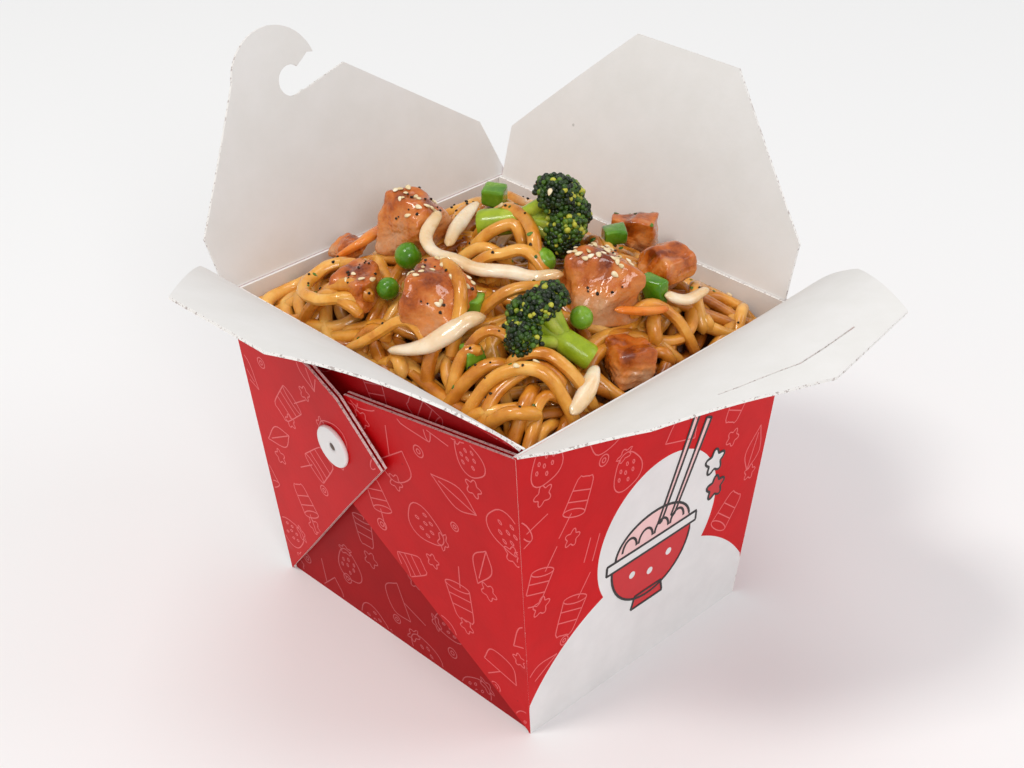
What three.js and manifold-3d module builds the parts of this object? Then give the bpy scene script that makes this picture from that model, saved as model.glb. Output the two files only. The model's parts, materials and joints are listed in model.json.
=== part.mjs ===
// Noodle takeaway box: a folded board carton with its four top flaps open, filled and heaped with
// noodles, chicken, broccoli and vegetables. Millimetres, +Z up, origin under the middle of the base.
import * as THREE from "three";
import { mergeVertices } from "three/addons/utils/BufferGeometryUtils.js";
import { TessellateModifier } from "three/addons/modifiers/TessellateModifier.js";
import Module from "manifold-3d";

// --- Carton -------------------------------------------------------------------------------------
const RIM = { x: 100, y: 104 }; // outside size at the mouth
const BASE = { x: 80, y: 95 }; // outside size on the table
const HEIGHT = 91;
const BOARD = 0.8; // coated board
const GAP = 0.35; // clearance between pieces that touch
const INSET = { rim: 3.2, base: 0.8 }; // how far the two x panels lie inside the folded corner webs
const PLY_PITCH = 1.3; // from one ply of a corner web to the next
const WEB_LEAN = 0.0577; // how steeply the overlapping web stands off its wall
const HINGE = { out: 0.6, up: 0.8 }; // a crease's axis, from the outer top edge of its wall
const BUTTON = { radius: 6, hole: 1.1, thick: 1.2, u: -12.8, v: 63.8 };

// --- Flaps: straight shoulder, reach, and the lift at the crease and at the free edge -------------
const SHOULDER = 15; // straight sides of every flap before its corners are cut away
const REACH = { dust: 51, slit: 50, hook: 61 };
// Degrees. The slit flap is also twisted: its left end is rolled much more than its right end.
const LIFT = { front: [50, 18], back: [76, 68], slit: [58, -10, 30, 14], hook: [80, 75] };
const HOOK = { x: 28, y: 47.5, radius: 13.5, slotX: 32.5, slotY: 46, slotWidth: 8 };
const SLIT_WIDTH = 0.7;

// --- Food ---------------------------------------------------------------------------------------
const HEAP = { edge: 84, rise: 21, power: 3.5, peakX: 8, peakY: 2, tilt: 0.04 };
const STRAND = { pitch: 7.5, relief: 1.3 }; // the rolling relief that the noodles leave
const HEAP_GRID = { x: 26, y: 29 };
const SPROUT = { wide: 4.2, thick: 2.6 };
const CARROT = { wide: 3.2, thick: 2.2 };
const PEA = 3.6;

const INK = { red: 0xc4161c, board: 0xdedbd6, button: 0xf0efec };
const FOOD = {
  noodle: 0xc68b45,
  chicken: 0xa9622f,
  crown: 0x33501c,
  sprout: 0xe6d3b5,
  carrot: 0xd9742a,
  green: 0x3f8a26,
};

const wasm = await Module();
wasm.setup();

// --- Joining and cutting ------------------------------------------------------------------------
function solid(geometry) {
  const bare = geometry.clone();
  bare.deleteAttribute("normal");
  bare.deleteAttribute("uv");
  const merged = mergeVertices(bare, 1e-3);
  return new wasm.Manifold(
    new wasm.Mesh({
      numProp: 3,
      vertProperties: new Float32Array(merged.attributes.position.array),
      triVerts: new Uint32Array(merged.index.array),
    }),
  );
}

function geometryOf(manifold) {
  const mesh = manifold.getMesh();
  const geometry = new THREE.BufferGeometry();
  geometry.setAttribute("position", new THREE.BufferAttribute(mesh.vertProperties, 3));
  geometry.setIndex(new THREE.BufferAttribute(mesh.triVerts, 1));
  geometry.computeVertexNormals();
  return geometry;
}

const join = (solids) => solids.reduce((whole, piece) => whole.add(piece));
const mix = THREE.MathUtils.lerp;

const group = new THREE.Group();

function addNode(name, manifold, color, roughness) {
  const material = new THREE.MeshStandardMaterial({ color, roughness, metalness: 0 });
  const mesh = new THREE.Mesh(geometryOf(manifold), material);
  mesh.name = name;
  group.add(mesh);
}

// --- Carton walls ---------------------------------------------------------------------------------
// Half widths of a straight-sided tub at a height.
const halfX = (z, inset = 0) => mix(BASE.x / 2 - INSET.base, RIM.x / 2 - INSET.rim, z / HEIGHT) - inset;
const halfY = (z, inset = 0) => mix(BASE.y / 2, RIM.y / 2, z / HEIGHT) - inset;

function tub(bottom, top, inset) {
  const box = new THREE.BoxGeometry(1, 1, 1);
  const place = box.attributes.position;
  for (let i = 0; i < place.count; i++) {
    const z = place.getZ(i) < 0 ? bottom : top;
    place.setXYZ(i, 2 * place.getX(i) * halfX(z, inset), 2 * place.getY(i) * halfY(z, inset), z);
  }
  return solid(box);
}

// A wall's own frame: x to the right seen from outside, y up the slope, z outward.
function wallFrame(outward, baseHalf, rimHalf) {
  const slope = Math.atan2(rimHalf - baseHalf, HEIGHT);
  const up = new THREE.Vector3(0, 0, 1);
  const right = new THREE.Vector3().crossVectors(up, outward);
  const rise = outward.clone().multiplyScalar(Math.sin(slope)).addScaledVector(up, Math.cos(slope));
  const facing = new THREE.Vector3().crossVectors(right, rise);
  const frame = new THREE.Matrix4().makeBasis(right, rise, facing);
  return frame.setPosition(outward.clone().multiplyScalar(baseHalf));
}

// A flat board piece cut to an outline in a wall's frame, from one depth to another.
function plate(outline, from, to) {
  const shape = new THREE.Shape(outline.map(([x, y]) => new THREE.Vector2(x, y)));
  const geometry = new THREE.ExtrudeGeometry(shape, { depth: to - from, bevelEnabled: false });
  return geometry.translate(0, 0, from);
}

// The folded corner webs on one x wall: two plies joined by the diagonal fold at its lower edge,
// and over them two more plies whose tab locks across the first pair.
function cornerWebs(outward) {
  const frame = wallFrame(outward, BASE.x / 2, RIM.x / 2);
  const slopeLength = Math.hypot(HEIGHT, (RIM.x - BASE.x) / 2);
  const rimU = RIM.y / 2;
  const baseU = BASE.y / 2;
  const knee = [-12.6, 43.2]; // where the two diagonal folds meet
  const peak = [-8.7, 80.3];
  const tabTip = [6.5, 66.1];
  const underWeb = [[baseU, 0], [rimU, slopeLength], peak, knee];
  const overWeb = [[-baseU, 0], knee, tabTip, peak, [-18.8, 84.8], [-rimU, slopeLength]];
  const pieces = [];
  for (const ply of [0, 1]) {
    const top = -ply * PLY_PITCH;
    pieces.push(plate(underWeb, top - BOARD, top).applyMatrix4(frame));
    const over = plate(overWeb, top - BOARD, top);
    over.translate(rimU, 0, 0).rotateY(-Math.atan(WEB_LEAN)).translate(-rimU, 0, 0);
    pieces.push(over.applyMatrix4(frame));
  }
  const fold = (from, to, lean) => {
    const along = new THREE.Vector2(to[0] - from[0], to[1] - from[1]);
    const side = new THREE.Vector2(-along.y, along.x).normalize().multiplyScalar(lean * BOARD);
    const strip = [from, to, [to[0] + side.x, to[1] + side.y], [from[0] + side.x, from[1] + side.y]];
    return plate(lean > 0 ? strip : strip.reverse(), -PLY_PITCH - BOARD / 2, -BOARD / 2);
  };
  pieces.push(fold([baseU, 0], knee, -1).applyMatrix4(frame));
  const overFold = fold([-baseU, 0], knee, 1);
  overFold.translate(rimU, 0, 0).rotateY(-Math.atan(WEB_LEAN)).translate(-rimU, 0, 0);
  pieces.push(overFold.applyMatrix4(frame));
  return join(pieces.map(solid));
}

function fullWall(outward) {
  const outline = [[-BASE.x / 2, 0], [BASE.x / 2, 0]];
  const slopeLength = Math.hypot(HEIGHT, (RIM.y - BASE.y) / 2);
  outline.push([RIM.x / 2, slopeLength], [-RIM.x / 2, slopeLength]);
  const frame = wallFrame(outward, BASE.y / 2, RIM.y / 2);
  return solid(plate(outline, -BOARD, 0).applyMatrix4(frame));
}

const AXES = {
  front: new THREE.Vector3(-1, 0, 0),
  back: new THREE.Vector3(1, 0, 0),
  slit: new THREE.Vector3(0, -1, 0),
  hook: new THREE.Vector3(0, 1, 0),
};

const hollow = tub(BOARD, HEIGHT + BOARD, BOARD);
const webs = [cornerWebs(AXES.front), cornerWebs(AXES.back)];
const walls = [tub(0, HEIGHT, 0), fullWall(AXES.slit), fullWall(AXES.hook), ...webs];
const trim = new THREE.BoxGeometry(2 * RIM.x, 2 * RIM.y, HEIGHT).translate(0, 0, HEIGHT / 2);
addNode("carton", join(walls).subtract(hollow).intersect(solid(trim)), INK.red, 0.45);

// --- Buttons that rivet the webs together -----------------------------------------------------------
function button(outward) {
  const { radius, hole, thick, u, v } = BUTTON;
  const profile = [[hole, 0], [radius - 0.3, 0], [radius, 0.4], [radius - 0.4, thick], [hole + 0.5, thick]];
  profile.push([hole, thick - 0.5], [hole, 0]);
  const geometry = new THREE.LatheGeometry(profile.map(([r, y]) => new THREE.Vector2(r, y)), 16);
  const rimU = RIM.y / 2;
  geometry.rotateX(Math.PI / 2).translate(rimU + u, v, GAP);
  geometry.rotateY(-Math.atan(WEB_LEAN)).translate(-rimU, 0, 0);
  return solid(geometry.applyMatrix4(wallFrame(outward, BASE.x / 2, RIM.x / 2)));
}

addNode("button_front", button(AXES.front), INK.button, 0.4);
addNode("button_back", button(AXES.back), INK.button, 0.4);

// --- Flaps ------------------------------------------------------------------------------------------
// A flap is drawn flat, x along the crease and y away from it, and then rolled: its lift falls evenly
// from the crease to the free edge.
function curledFlap(shape, reach, [creaseLeft, edgeLeft, creaseRight, edgeRight], outward, wallHalf) {
  const flat = new THREE.ExtrudeGeometry(shape, { depth: BOARD, bevelEnabled: false, curveSegments: 6 });
  const sheet = new TessellateModifier(19, 8).modify(flat.translate(0, 0, -BOARD / 2));
  const right = outward.clone().cross(new THREE.Vector3(0, 0, 1));
  const place = sheet.attributes.position;
  for (let i = 0; i < place.count; i++) {
    const [along, away, off] = [place.getX(i), place.getY(i), place.getZ(i)];
    const across = along / RIM.x + 0.5;
    const start = THREE.MathUtils.degToRad(mix(creaseLeft, creaseRight ?? creaseLeft, across));
    const end = THREE.MathUtils.degToRad(mix(edgeLeft, edgeRight ?? edgeLeft, across));
    const turn = (end - start) / reach;
    const lift = start + turn * away;
    const out = (Math.sin(lift) - Math.sin(start)) / turn - off * Math.sin(lift);
    const up = (Math.cos(start) - Math.cos(lift)) / turn + off * Math.cos(lift);
    const point = right.clone().multiplyScalar(along);
    point.addScaledVector(outward, wallHalf + HINGE.out + out);
    place.setXYZ(i, point.x, point.y, HEIGHT + HINGE.up + up);
  }
  return solid(sheet);
}

function outlineShape(points) {
  return new THREE.Shape(points.map(([x, y]) => new THREE.Vector2(x, y)));
}

// Seen from inside with the flap standing up, x runs to the right from the middle of the crease.
const DUST_HALF = RIM.y / 2 - BOARD - 0.4;
const OUTER_HALF = RIM.x / 2;
const ROOT = -BOARD / 2;

function dustShape(leftCorner, rightCorner) {
  const right = [[DUST_HALF, ROOT], [DUST_HALF, SHOULDER], [rightCorner, REACH.dust]];
  return outlineShape([...right, [leftCorner, REACH.dust], [-DUST_HALF, SHOULDER], [-DUST_HALF, ROOT]]);
}

const slitShape = outlineShape([
  [OUTER_HALF, ROOT],
  [48, 11],
  [36, 29],
  [11, 46],
  [0, 51.5],
  [-34, 47.5],
  [-48.5, 24],
  [-49.5, 12],
  [-OUTER_HALF, ROOT],
]);
const slitLine = [[-20, 42.6], [-8, 42.5], [0, 42], [14.4, 36.1], [18.7, 33.8]];
const slitBack = slitLine.map(([x, y]) => [x, y - SLIT_WIDTH]).reverse();
slitShape.holes.push(outlineShape([...slitLine, ...slitBack]));

// The hook is a round head with a slot running in from its inner side.
function hookShape() {
  const { x, y, radius, slotX, slotY, slotWidth } = HOOK; // x from the flap's left end
  const shape = new THREE.Shape();
  shape.moveTo(0, ROOT);
  shape.lineTo(-3, SHOULDER);
  shape.lineTo(x - radius, y + 2);
  shape.absarc(x, y, radius, Math.PI - 0.15, 0.28, true);
  shape.lineTo(slotX + 6.5, slotY + 5.6);
  shape.lineTo(slotX + 2.6, slotY + 3);
  shape.absarc(slotX, slotY, slotWidth / 2, 0.28 * Math.PI, 1.72 * Math.PI, false);
  shape.lineTo(slotX + 3.2, slotY - 3.4);
  shape.lineTo(50, 46);
  shape.lineTo(93, SHOULDER + 2);
  shape.lineTo(2 * OUTER_HALF, ROOT);
  return outlineShape(shape.getPoints(6).map((point) => [point.x - OUTER_HALF, point.y]));
}

const flaps = [
  ["flap_front", dustShape(-17, 17), REACH.dust, LIFT.front, AXES.front, halfX(HEIGHT)],
  ["flap_back", dustShape(-15, 19), REACH.dust, LIFT.back, AXES.back, halfX(HEIGHT)],
  ["flap_slit", slitShape, REACH.slit, LIFT.slit, AXES.slit, halfY(HEIGHT)],
  ["flap_hook", hookShape(), REACH.hook, LIFT.hook, AXES.hook, halfY(HEIGHT)],
];
for (const [name, ...sheet] of flaps) addNode(name, curledFlap(...sheet), INK.board, 0.6);

// --- Heap -------------------------------------------------------------------------------------------
// The smooth dome of the heap: flat topped, falling away to the walls, higher at the back.
function dome(x, y) {
  const spanX = x > HEAP.peakX ? halfX(HEIGHT) - HEAP.peakX : halfX(HEIGHT) + HEAP.peakX;
  const spanY = y > HEAP.peakY ? halfY(HEIGHT) - HEAP.peakY : halfY(HEIGHT) + HEAP.peakY;
  const fallX = Math.max(0, 1 - Math.abs((x - HEAP.peakX) / spanX) ** HEAP.power);
  const fallY = Math.max(0, 1 - Math.abs((y - HEAP.peakY) / spanY) ** HEAP.power);
  return HEAP.edge + HEAP.tilt * (x + y) + HEAP.rise * fallX * fallY;
}

// Rolling ridges in two crossing directions, as deep as the strands that make them.
function ridges(x, y) {
  const turn = (2 * Math.PI) / STRAND.pitch;
  const one = Math.sin(turn * (0.8 * x + 0.5 * y + 3 * Math.sin(0.09 * y)));
  const two = Math.sin(turn * (0.4 * x - 0.9 * y + 3 * Math.sin(0.08 * x)));
  return (STRAND.relief * (one + two)) / 2;
}

// The heap fills the tub to its uneven top: a grid of heights over four plain sides and a flat bottom.
function heapSolid() {
  const { x: columns, y: rows } = HEAP_GRID;
  const points = [];
  const spot = (u, v, z) => {
    const level = Math.min(z, HEIGHT);
    points.push(u * halfX(level, BOARD + GAP), v * halfY(level, BOARD + GAP), z);
    return points.length / 3 - 1;
  };
  const top = (column, row) => {
    const [u, v] = [(2 * column) / columns - 1, (2 * row) / rows - 1];
    const [x, y] = [u * halfX(HEIGHT), v * halfY(HEIGHT)];
    return spot(u, v, dome(x, y) + ridges(x, y));
  };
  const grid = Array.from({ length: rows + 1 }, (_, row) =>
    Array.from({ length: columns + 1 }, (_, column) => top(column, row)),
  );
  const faces = [];
  for (let row = 0; row < rows; row++) {
    for (let column = 0; column < columns; column++) {
      const [a, b] = [grid[row][column], grid[row][column + 1]];
      const [c, d] = [grid[row + 1][column + 1], grid[row + 1][column]];
      faces.push(a, b, c, a, c, d);
    }
  }
  const corners = [[-1, -1], [1, -1], [1, 1], [-1, 1]];
  const foot = corners.map(([u, v]) => spot(u, v, BOARD + GAP));
  const sides = [
    grid[0],
    grid.map((row) => row[columns]),
    [...grid[rows]].reverse(),
    grid.map((row) => row[0]).reverse(),
  ];
  sides.forEach((edge, side) => {
    const [from, to] = [foot[side], foot[(side + 1) % sides.length]];
    edge.slice(1).forEach((next, i) => faces.push(from, next, edge[i]));
    faces.push(from, to, edge[edge.length - 1]);
  });
  faces.push(foot[0], foot[2], foot[1], foot[0], foot[3], foot[2]);
  const geometry = new THREE.BufferGeometry();
  geometry.setAttribute("position", new THREE.Float32BufferAttribute(points, 3));
  geometry.setIndex(faces);
  return solid(geometry);
}

// --- Toppings ---------------------------------------------------------------------------------------
const onHeap = (x, y, lift) => new THREE.Vector3(x, y, dome(x, y) + lift);

// A cooked chunk: a rounded block with a lumpy skin. grow widens it all round.
function chunk([x, y, lift], size, turn, seed) {
  return (grow) => {
    const ball = new THREE.IcosahedronGeometry(1, 2);
    const place = ball.attributes.position;
    const spot = new THREE.Vector3();
    for (let i = 0; i < place.count; i++) {
      spot.fromBufferAttribute(place, i);
      const squared = (Math.abs(spot.x) ** 3 + Math.abs(spot.y) ** 3 + Math.abs(spot.z) ** 3) ** (-1 / 3);
      const lumps = 0.1 * Math.sin(3.3 * spot.x + seed) * Math.cos(2.9 * spot.y + 2 * seed);
      const reach = squared * (0.92 + lumps + 0.06 * Math.sin(5 * spot.z + 3 * seed));
      place.setXYZ(
        i,
        spot.x * (reach * size[0] * 0.5 + grow),
        spot.y * (reach * size[1] * 0.5 + grow),
        spot.z * (reach * size[2] * 0.5 + grow),
      );
    }
    ball.rotateX(0.3 * Math.sin(seed)).rotateY(0.3 * Math.cos(seed)).rotateZ(THREE.MathUtils.degToRad(turn));
    const centre = onHeap(x, y, lift);
    return solid(ball.translate(centre.x, centre.y, centre.z));
  };
}

// A strip that lies along points of the heap, with an oval section.
function strip(points, section, taper = 1) {
  return (grow) => {
    const curve = new THREE.CatmullRomCurve3(points.map((point) => onHeap(...point)));
    const shape = new THREE.Shape();
    shape.absellipse(0, 0, section.thick / 2 + grow, (taper * section.wide) / 2 + grow, 0, 2 * Math.PI);
    const steps = Math.ceil(curve.getLength() / 4);
    const options = { extrudePath: curve, steps, bevelEnabled: false, curveSegments: 2 };
    return solid(new THREE.ExtrudeGeometry(shape, options));
  };
}

// A broccoli floret: a stalk that widens into a crown of round buds.
function floret([x, y, lift], crown, stalkTo, stalkRadius) {
  return (grow) => {
    const top = onHeap(x, y, lift);
    const foot = onHeap(...stalkTo);
    const along = top.clone().sub(foot);
    const length = along.length() + 2 * grow;
    const stalk = new THREE.CylinderGeometry(stalkRadius * 1.1 + grow, stalkRadius + grow, length, 8);
    const up = new THREE.Vector3(0, 1, 0);
    stalk.applyQuaternion(new THREE.Quaternion().setFromUnitVectors(up, along.normalize()));
    const middle = top.clone().add(foot).multiplyScalar(0.5);
    const pieces = [solid(stalk.translate(middle.x, middle.y, middle.z))];
    const buds = 5;
    for (let bud = 0; bud <= buds; bud++) {
      const angle = (2 * Math.PI * bud) / buds;
      const spread = bud < buds ? 1 : 0;
      const radius = crown.bud + grow;
      const ball = new THREE.IcosahedronGeometry(radius, 1);
      ball.rotateZ(bud);
      ball.translate(spread * crown.x * Math.cos(angle), spread * crown.y * Math.sin(angle), 0);
      ball.translate(top.x, top.y, top.z + crown.z * (1 - spread));
      pieces.push(solid(ball));
    }
    return join(pieces);
  };
}

function pea([x, y, lift], radius = PEA) {
  return (grow) => {
    const centre = onHeap(x, y, lift);
    const ball = new THREE.IcosahedronGeometry(radius + grow, 1);
    return solid(ball.translate(centre.x, centre.y, centre.z));
  };
}

// A short length cut from a green bean, lying at an angle.
function cutBean([x, y, lift], radius, length, turn, dip = 0) {
  return (grow) => {
    const centre = onHeap(x, y, lift);
    const rod = new THREE.CylinderGeometry(radius + grow, radius + grow, length + 2 * grow, 9);
    rod.rotateX(THREE.MathUtils.degToRad(dip)).rotateZ(THREE.MathUtils.degToRad(turn));
    return solid(rod.translate(centre.x, centre.y, centre.z));
  };
}

const LONG_SPROUT = [[-10, 15, 9], [-19, 10, 8], [-19, 0, 4.5], [-12, -12, 4.5], [-5, -23, 2.5]];

// Each topping takes its place after the ones before it, and is cut back where it would touch them.
const toppings = [
  ["chicken_1", FOOD.chicken, chunk([-11, 22, 5], [20, 17, 15], 20, 1.1)],
  ["chicken_2", FOOD.chicken, chunk([-29, -2, 4.5], [21, 20, 18], 45, 2.3)],
  ["chicken_3", FOOD.chicken, chunk([-33, 19, 2], [14, 13, 12], 10, 3.6)],
  ["chicken_4", FOOD.chicken, chunk([4, -29, 5], [22, 20, 18], -20, 4.2)],
  ["chicken_5", FOOD.chicken, chunk([23, -30, 1.5], [12, 14, 12], 0, 5.9)],
  ["chicken_6", FOOD.chicken, chunk([37, -9, 2], [12, 15, 10], 30, 6.4)],
  ["chicken_7", FOOD.chicken, chunk([-4, -44, 1], [14, 11, 12], 60, 7.7)],
  ["chicken_8", FOOD.chicken, chunk([-19, 40, 1], [10, 9, 8], 0, 8.8)],
  ["broccoli_1", FOOD.crown, floret([9, -8, 9], { x: 5, y: 5, z: 4, bud: 5.4 }, [-2, 8, 4], 3.2)],
  ["broccoli_2", FOOD.crown, floret([-21, -26, 6], { x: 5, y: 5, z: 3, bud: 5 }, [-13, -41, 1.5], 3)],
  ["sprout_1", FOOD.sprout, strip(LONG_SPROUT, SPROUT)],
  ["sprout_2", FOOD.sprout, strip([[-42, -1, 2], [-38, -10, 2], [-31, -15, 2], [-25, -17, 2]], SPROUT, 1.25)],
  ["sprout_3", FOOD.sprout, strip([[-13, 9, 3], [-6, 13, 3.5], [6, 18, 3]], SPROUT, 0.9)],
  ["sprout_4", FOOD.sprout, strip([[-28, -48, 2.5], [-20, -46, 2.5], [-14, -42, 2.5]], SPROUT, 1.1)],
  ["sprout_5", FOOD.sprout, strip([[14, -39, 2.4], [20, -41, 2.5], [28, -41, 2]], SPROUT)],
  ["carrot_1", FOOD.carrot, strip([[-2, -37, 3.4], [4, -40, 3.4], [12, -42, 3]], CARROT)],
  ["carrot_2", FOOD.carrot, strip([[-26, 37, 1.4], [-20, 33, 2.2], [-10, 36, 1.6]], CARROT)],
  ["carrot_3", FOOD.carrot, strip([[24, 6, 1.5], [30, 12, 1.5], [31, 22, 1.5]], CARROT)],
  ["pea_1", FOOD.green, pea([-22, 13.5, 4.2], 3.8)],
  ["pea_2", FOOD.green, pea([-31, 11.5, 3.6], 3.2)],
  ["pea_3", FOOD.green, pea([-3, -14, 4], 3.8)],
  ["pea_4", FOOD.green, pea([-9, -33, 4], 3.2)],
  ["bean_1", FOOD.green, cutBean([14, 20, 2], 3, 7, 30)],
  ["bean_2", FOOD.green, cutBean([-24, -10, 2.5], 2.4, 8, -50)],
  ["bean_3", FOOD.green, cutBean([-33, -21, 2.4], 3, 6, 70)],
  ["bean_4", FOOD.green, cutBean([22, -15, 2.2], 2.4, 8, 55)],
  ["bean_5", FOOD.green, cutBean([14, -35, 3], 2.4, 6, 0, 40)],
  ["bean_6", FOOD.green, cutBean([34, -27, 1.6], 2.2, 6, 20)],
];

let heap = heapSolid();
const placed = [];
for (const [name, color, make] of toppings) {
  const room = make(GAP);
  let piece = make(0);
  for (const earlier of placed) piece = piece.subtract(earlier);
  addNode(name, piece, color, 0.45);
  heap = heap.subtract(room);
  placed.push(room);
}
addNode("noodle_heap", heap, FOOD.noodle, 0.4);

export default group;
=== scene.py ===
# %% [markdown]
# # A noodle takeaway box
# An open folding carton of coated board, heaped with noodles, chicken, broccoli and vegetables.
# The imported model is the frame: it holds the true sizes and the four hinged flaps. Every piece made
# here takes its place from it and rides on one of its bodies.

# %% Load the frame
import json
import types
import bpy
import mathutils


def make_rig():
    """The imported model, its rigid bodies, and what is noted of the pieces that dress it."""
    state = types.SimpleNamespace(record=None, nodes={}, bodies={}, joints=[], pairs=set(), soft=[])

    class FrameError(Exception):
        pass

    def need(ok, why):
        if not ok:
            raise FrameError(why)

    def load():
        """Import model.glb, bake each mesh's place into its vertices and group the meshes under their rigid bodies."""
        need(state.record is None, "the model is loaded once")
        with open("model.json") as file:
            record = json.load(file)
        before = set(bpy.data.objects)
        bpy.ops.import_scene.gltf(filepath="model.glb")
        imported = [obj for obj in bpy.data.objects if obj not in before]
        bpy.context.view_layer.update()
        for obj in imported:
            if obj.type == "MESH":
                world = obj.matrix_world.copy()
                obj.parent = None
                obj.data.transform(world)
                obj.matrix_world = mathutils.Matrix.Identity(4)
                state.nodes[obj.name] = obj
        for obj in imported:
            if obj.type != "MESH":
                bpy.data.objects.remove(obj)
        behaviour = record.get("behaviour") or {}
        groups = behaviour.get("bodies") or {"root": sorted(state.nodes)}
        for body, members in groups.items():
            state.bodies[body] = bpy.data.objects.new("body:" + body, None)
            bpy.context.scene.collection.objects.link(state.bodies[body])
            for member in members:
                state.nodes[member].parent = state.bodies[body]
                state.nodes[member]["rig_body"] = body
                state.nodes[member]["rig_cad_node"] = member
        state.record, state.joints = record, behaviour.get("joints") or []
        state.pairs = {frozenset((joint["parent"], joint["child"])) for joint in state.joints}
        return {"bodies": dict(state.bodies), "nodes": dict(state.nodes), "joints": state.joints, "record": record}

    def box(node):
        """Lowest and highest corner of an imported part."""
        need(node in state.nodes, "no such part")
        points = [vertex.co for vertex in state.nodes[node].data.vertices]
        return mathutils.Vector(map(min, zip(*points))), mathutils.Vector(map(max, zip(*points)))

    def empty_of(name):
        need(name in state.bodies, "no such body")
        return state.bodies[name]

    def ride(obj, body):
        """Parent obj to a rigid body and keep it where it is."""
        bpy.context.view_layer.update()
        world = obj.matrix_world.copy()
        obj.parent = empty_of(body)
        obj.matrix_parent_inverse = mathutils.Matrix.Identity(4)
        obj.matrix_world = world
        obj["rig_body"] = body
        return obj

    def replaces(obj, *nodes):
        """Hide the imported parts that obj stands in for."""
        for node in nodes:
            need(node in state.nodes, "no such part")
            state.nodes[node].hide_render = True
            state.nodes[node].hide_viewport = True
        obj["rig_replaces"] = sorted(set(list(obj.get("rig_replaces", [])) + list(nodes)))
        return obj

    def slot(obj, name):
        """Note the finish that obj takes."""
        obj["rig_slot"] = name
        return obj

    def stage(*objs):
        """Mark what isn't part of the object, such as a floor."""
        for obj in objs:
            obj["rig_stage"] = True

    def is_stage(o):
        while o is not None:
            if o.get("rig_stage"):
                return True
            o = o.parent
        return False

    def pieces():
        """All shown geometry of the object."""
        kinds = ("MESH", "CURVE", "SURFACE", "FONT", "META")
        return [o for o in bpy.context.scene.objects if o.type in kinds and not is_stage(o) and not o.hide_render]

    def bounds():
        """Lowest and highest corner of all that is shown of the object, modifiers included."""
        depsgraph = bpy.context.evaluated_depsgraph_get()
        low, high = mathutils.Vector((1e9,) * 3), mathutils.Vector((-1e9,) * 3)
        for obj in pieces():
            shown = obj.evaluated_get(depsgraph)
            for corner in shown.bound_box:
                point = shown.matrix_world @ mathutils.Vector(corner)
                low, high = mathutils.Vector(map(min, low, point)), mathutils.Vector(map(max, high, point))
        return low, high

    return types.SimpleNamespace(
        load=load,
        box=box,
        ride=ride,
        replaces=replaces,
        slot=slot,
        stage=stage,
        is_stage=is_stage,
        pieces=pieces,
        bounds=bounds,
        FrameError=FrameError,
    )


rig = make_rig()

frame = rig.load()

import json
import math

import bmesh
import bpy
import numpy as np
from mathutils import Vector
from mathutils.geometry import delaunay_2d_cdt

MM = 0.001
cad_bounds = [list(corner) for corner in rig.bounds()]
print("bodies:", sorted(frame["bodies"]))

# %% [markdown]
# ## Camera, light and floor
# The box is seen from a corner, from a little above, with a portrait lens that keeps its upright
# edges nearly parallel. Packaging is lit as in a light tent: a lamp high on the left draws the gloss
# of the sauce, one overhead lights the heap, two broad ones in front open the shadows on the near
# walls, and a bright pale room fills the rest.

# %% Camera
AIM = Vector((0.0006, 0.0, 0.0648))
AZIMUTH, ELEVATION, DISTANCE = math.radians(-44.81), math.radians(32.32), 0.4564
back = Vector((
    math.sin(AZIMUTH) * math.cos(ELEVATION),
    -math.cos(AZIMUTH) * math.cos(ELEVATION),
    math.sin(ELEVATION),
))
camera_data = bpy.data.cameras.new("camera")
camera_data.lens = 61.2
camera_data.sensor_width = 36.0
camera_data.clip_start = 0.01
camera = bpy.data.objects.new("camera", camera_data)
camera.location = AIM + back * DISTANCE
camera.rotation_euler = (-back).to_track_quat("-Z", "Y").to_euler()
bpy.context.scene.collection.objects.link(camera)
bpy.context.scene.camera = camera
bpy.context.scene.view_settings.view_transform = "Standard"


# %% Colour and shader helpers
def linear(hex_colour):
    """An sRGB hex colour as the linear values that Blender's sockets take."""
    channels = [int(hex_colour[i:i + 2], 16) / 255 for i in (1, 3, 5)]
    return (*[c / 12.92 if c < 0.04045 else ((c + 0.055) / 1.055) ** 2.4 for c in channels], 1.0)


def add_node(tree, kind, inputs=None, **settings):
    """Adds one node. Settings are its properties; each input is a value or the socket that feeds it."""
    made = tree.nodes.new(kind)
    for key, value in settings.items():
        setattr(made, key, value)
    for key, value in (inputs or {}).items():
        if isinstance(value, bpy.types.NodeSocket):
            tree.links.new(value, made.inputs[key])
        else:
            made.inputs[key].default_value = value
    return made


def new_material(name, values):
    """A material with its principled shader wired to the output. values are uniform socket values."""
    material = bpy.data.materials.new(name)
    material.use_nodes = True
    tree = material.node_tree
    tree.nodes.clear()
    shader = add_node(tree, "ShaderNodeBsdfPrincipled", values)
    add_node(tree, "ShaderNodeOutputMaterial", {"Surface": shader.outputs["BSDF"]})
    return material, tree, shader


def shades(tree, factor, stops):
    """A colour ramp fed by factor. stops are pairs of position and sRGB hex colour."""
    made = add_node(tree, "ShaderNodeValToRGB", {"Fac": factor})
    elements = made.color_ramp.elements
    while len(elements) < len(stops):
        elements.new(0.5)
    for element, (position, colour) in zip(elements, stops):
        element.position = position
        element.color = linear(colour)
    return made.outputs["Color"]


def relief(tree, shader, height, strength, distance):
    """Fine surface relief from a height field, distance in metres."""
    bump = add_node(tree, "ShaderNodeBump", {"Height": height, "Strength": strength, "Distance": distance})
    tree.links.new(bump.outputs["Normal"], shader.inputs["Normal"])


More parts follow.
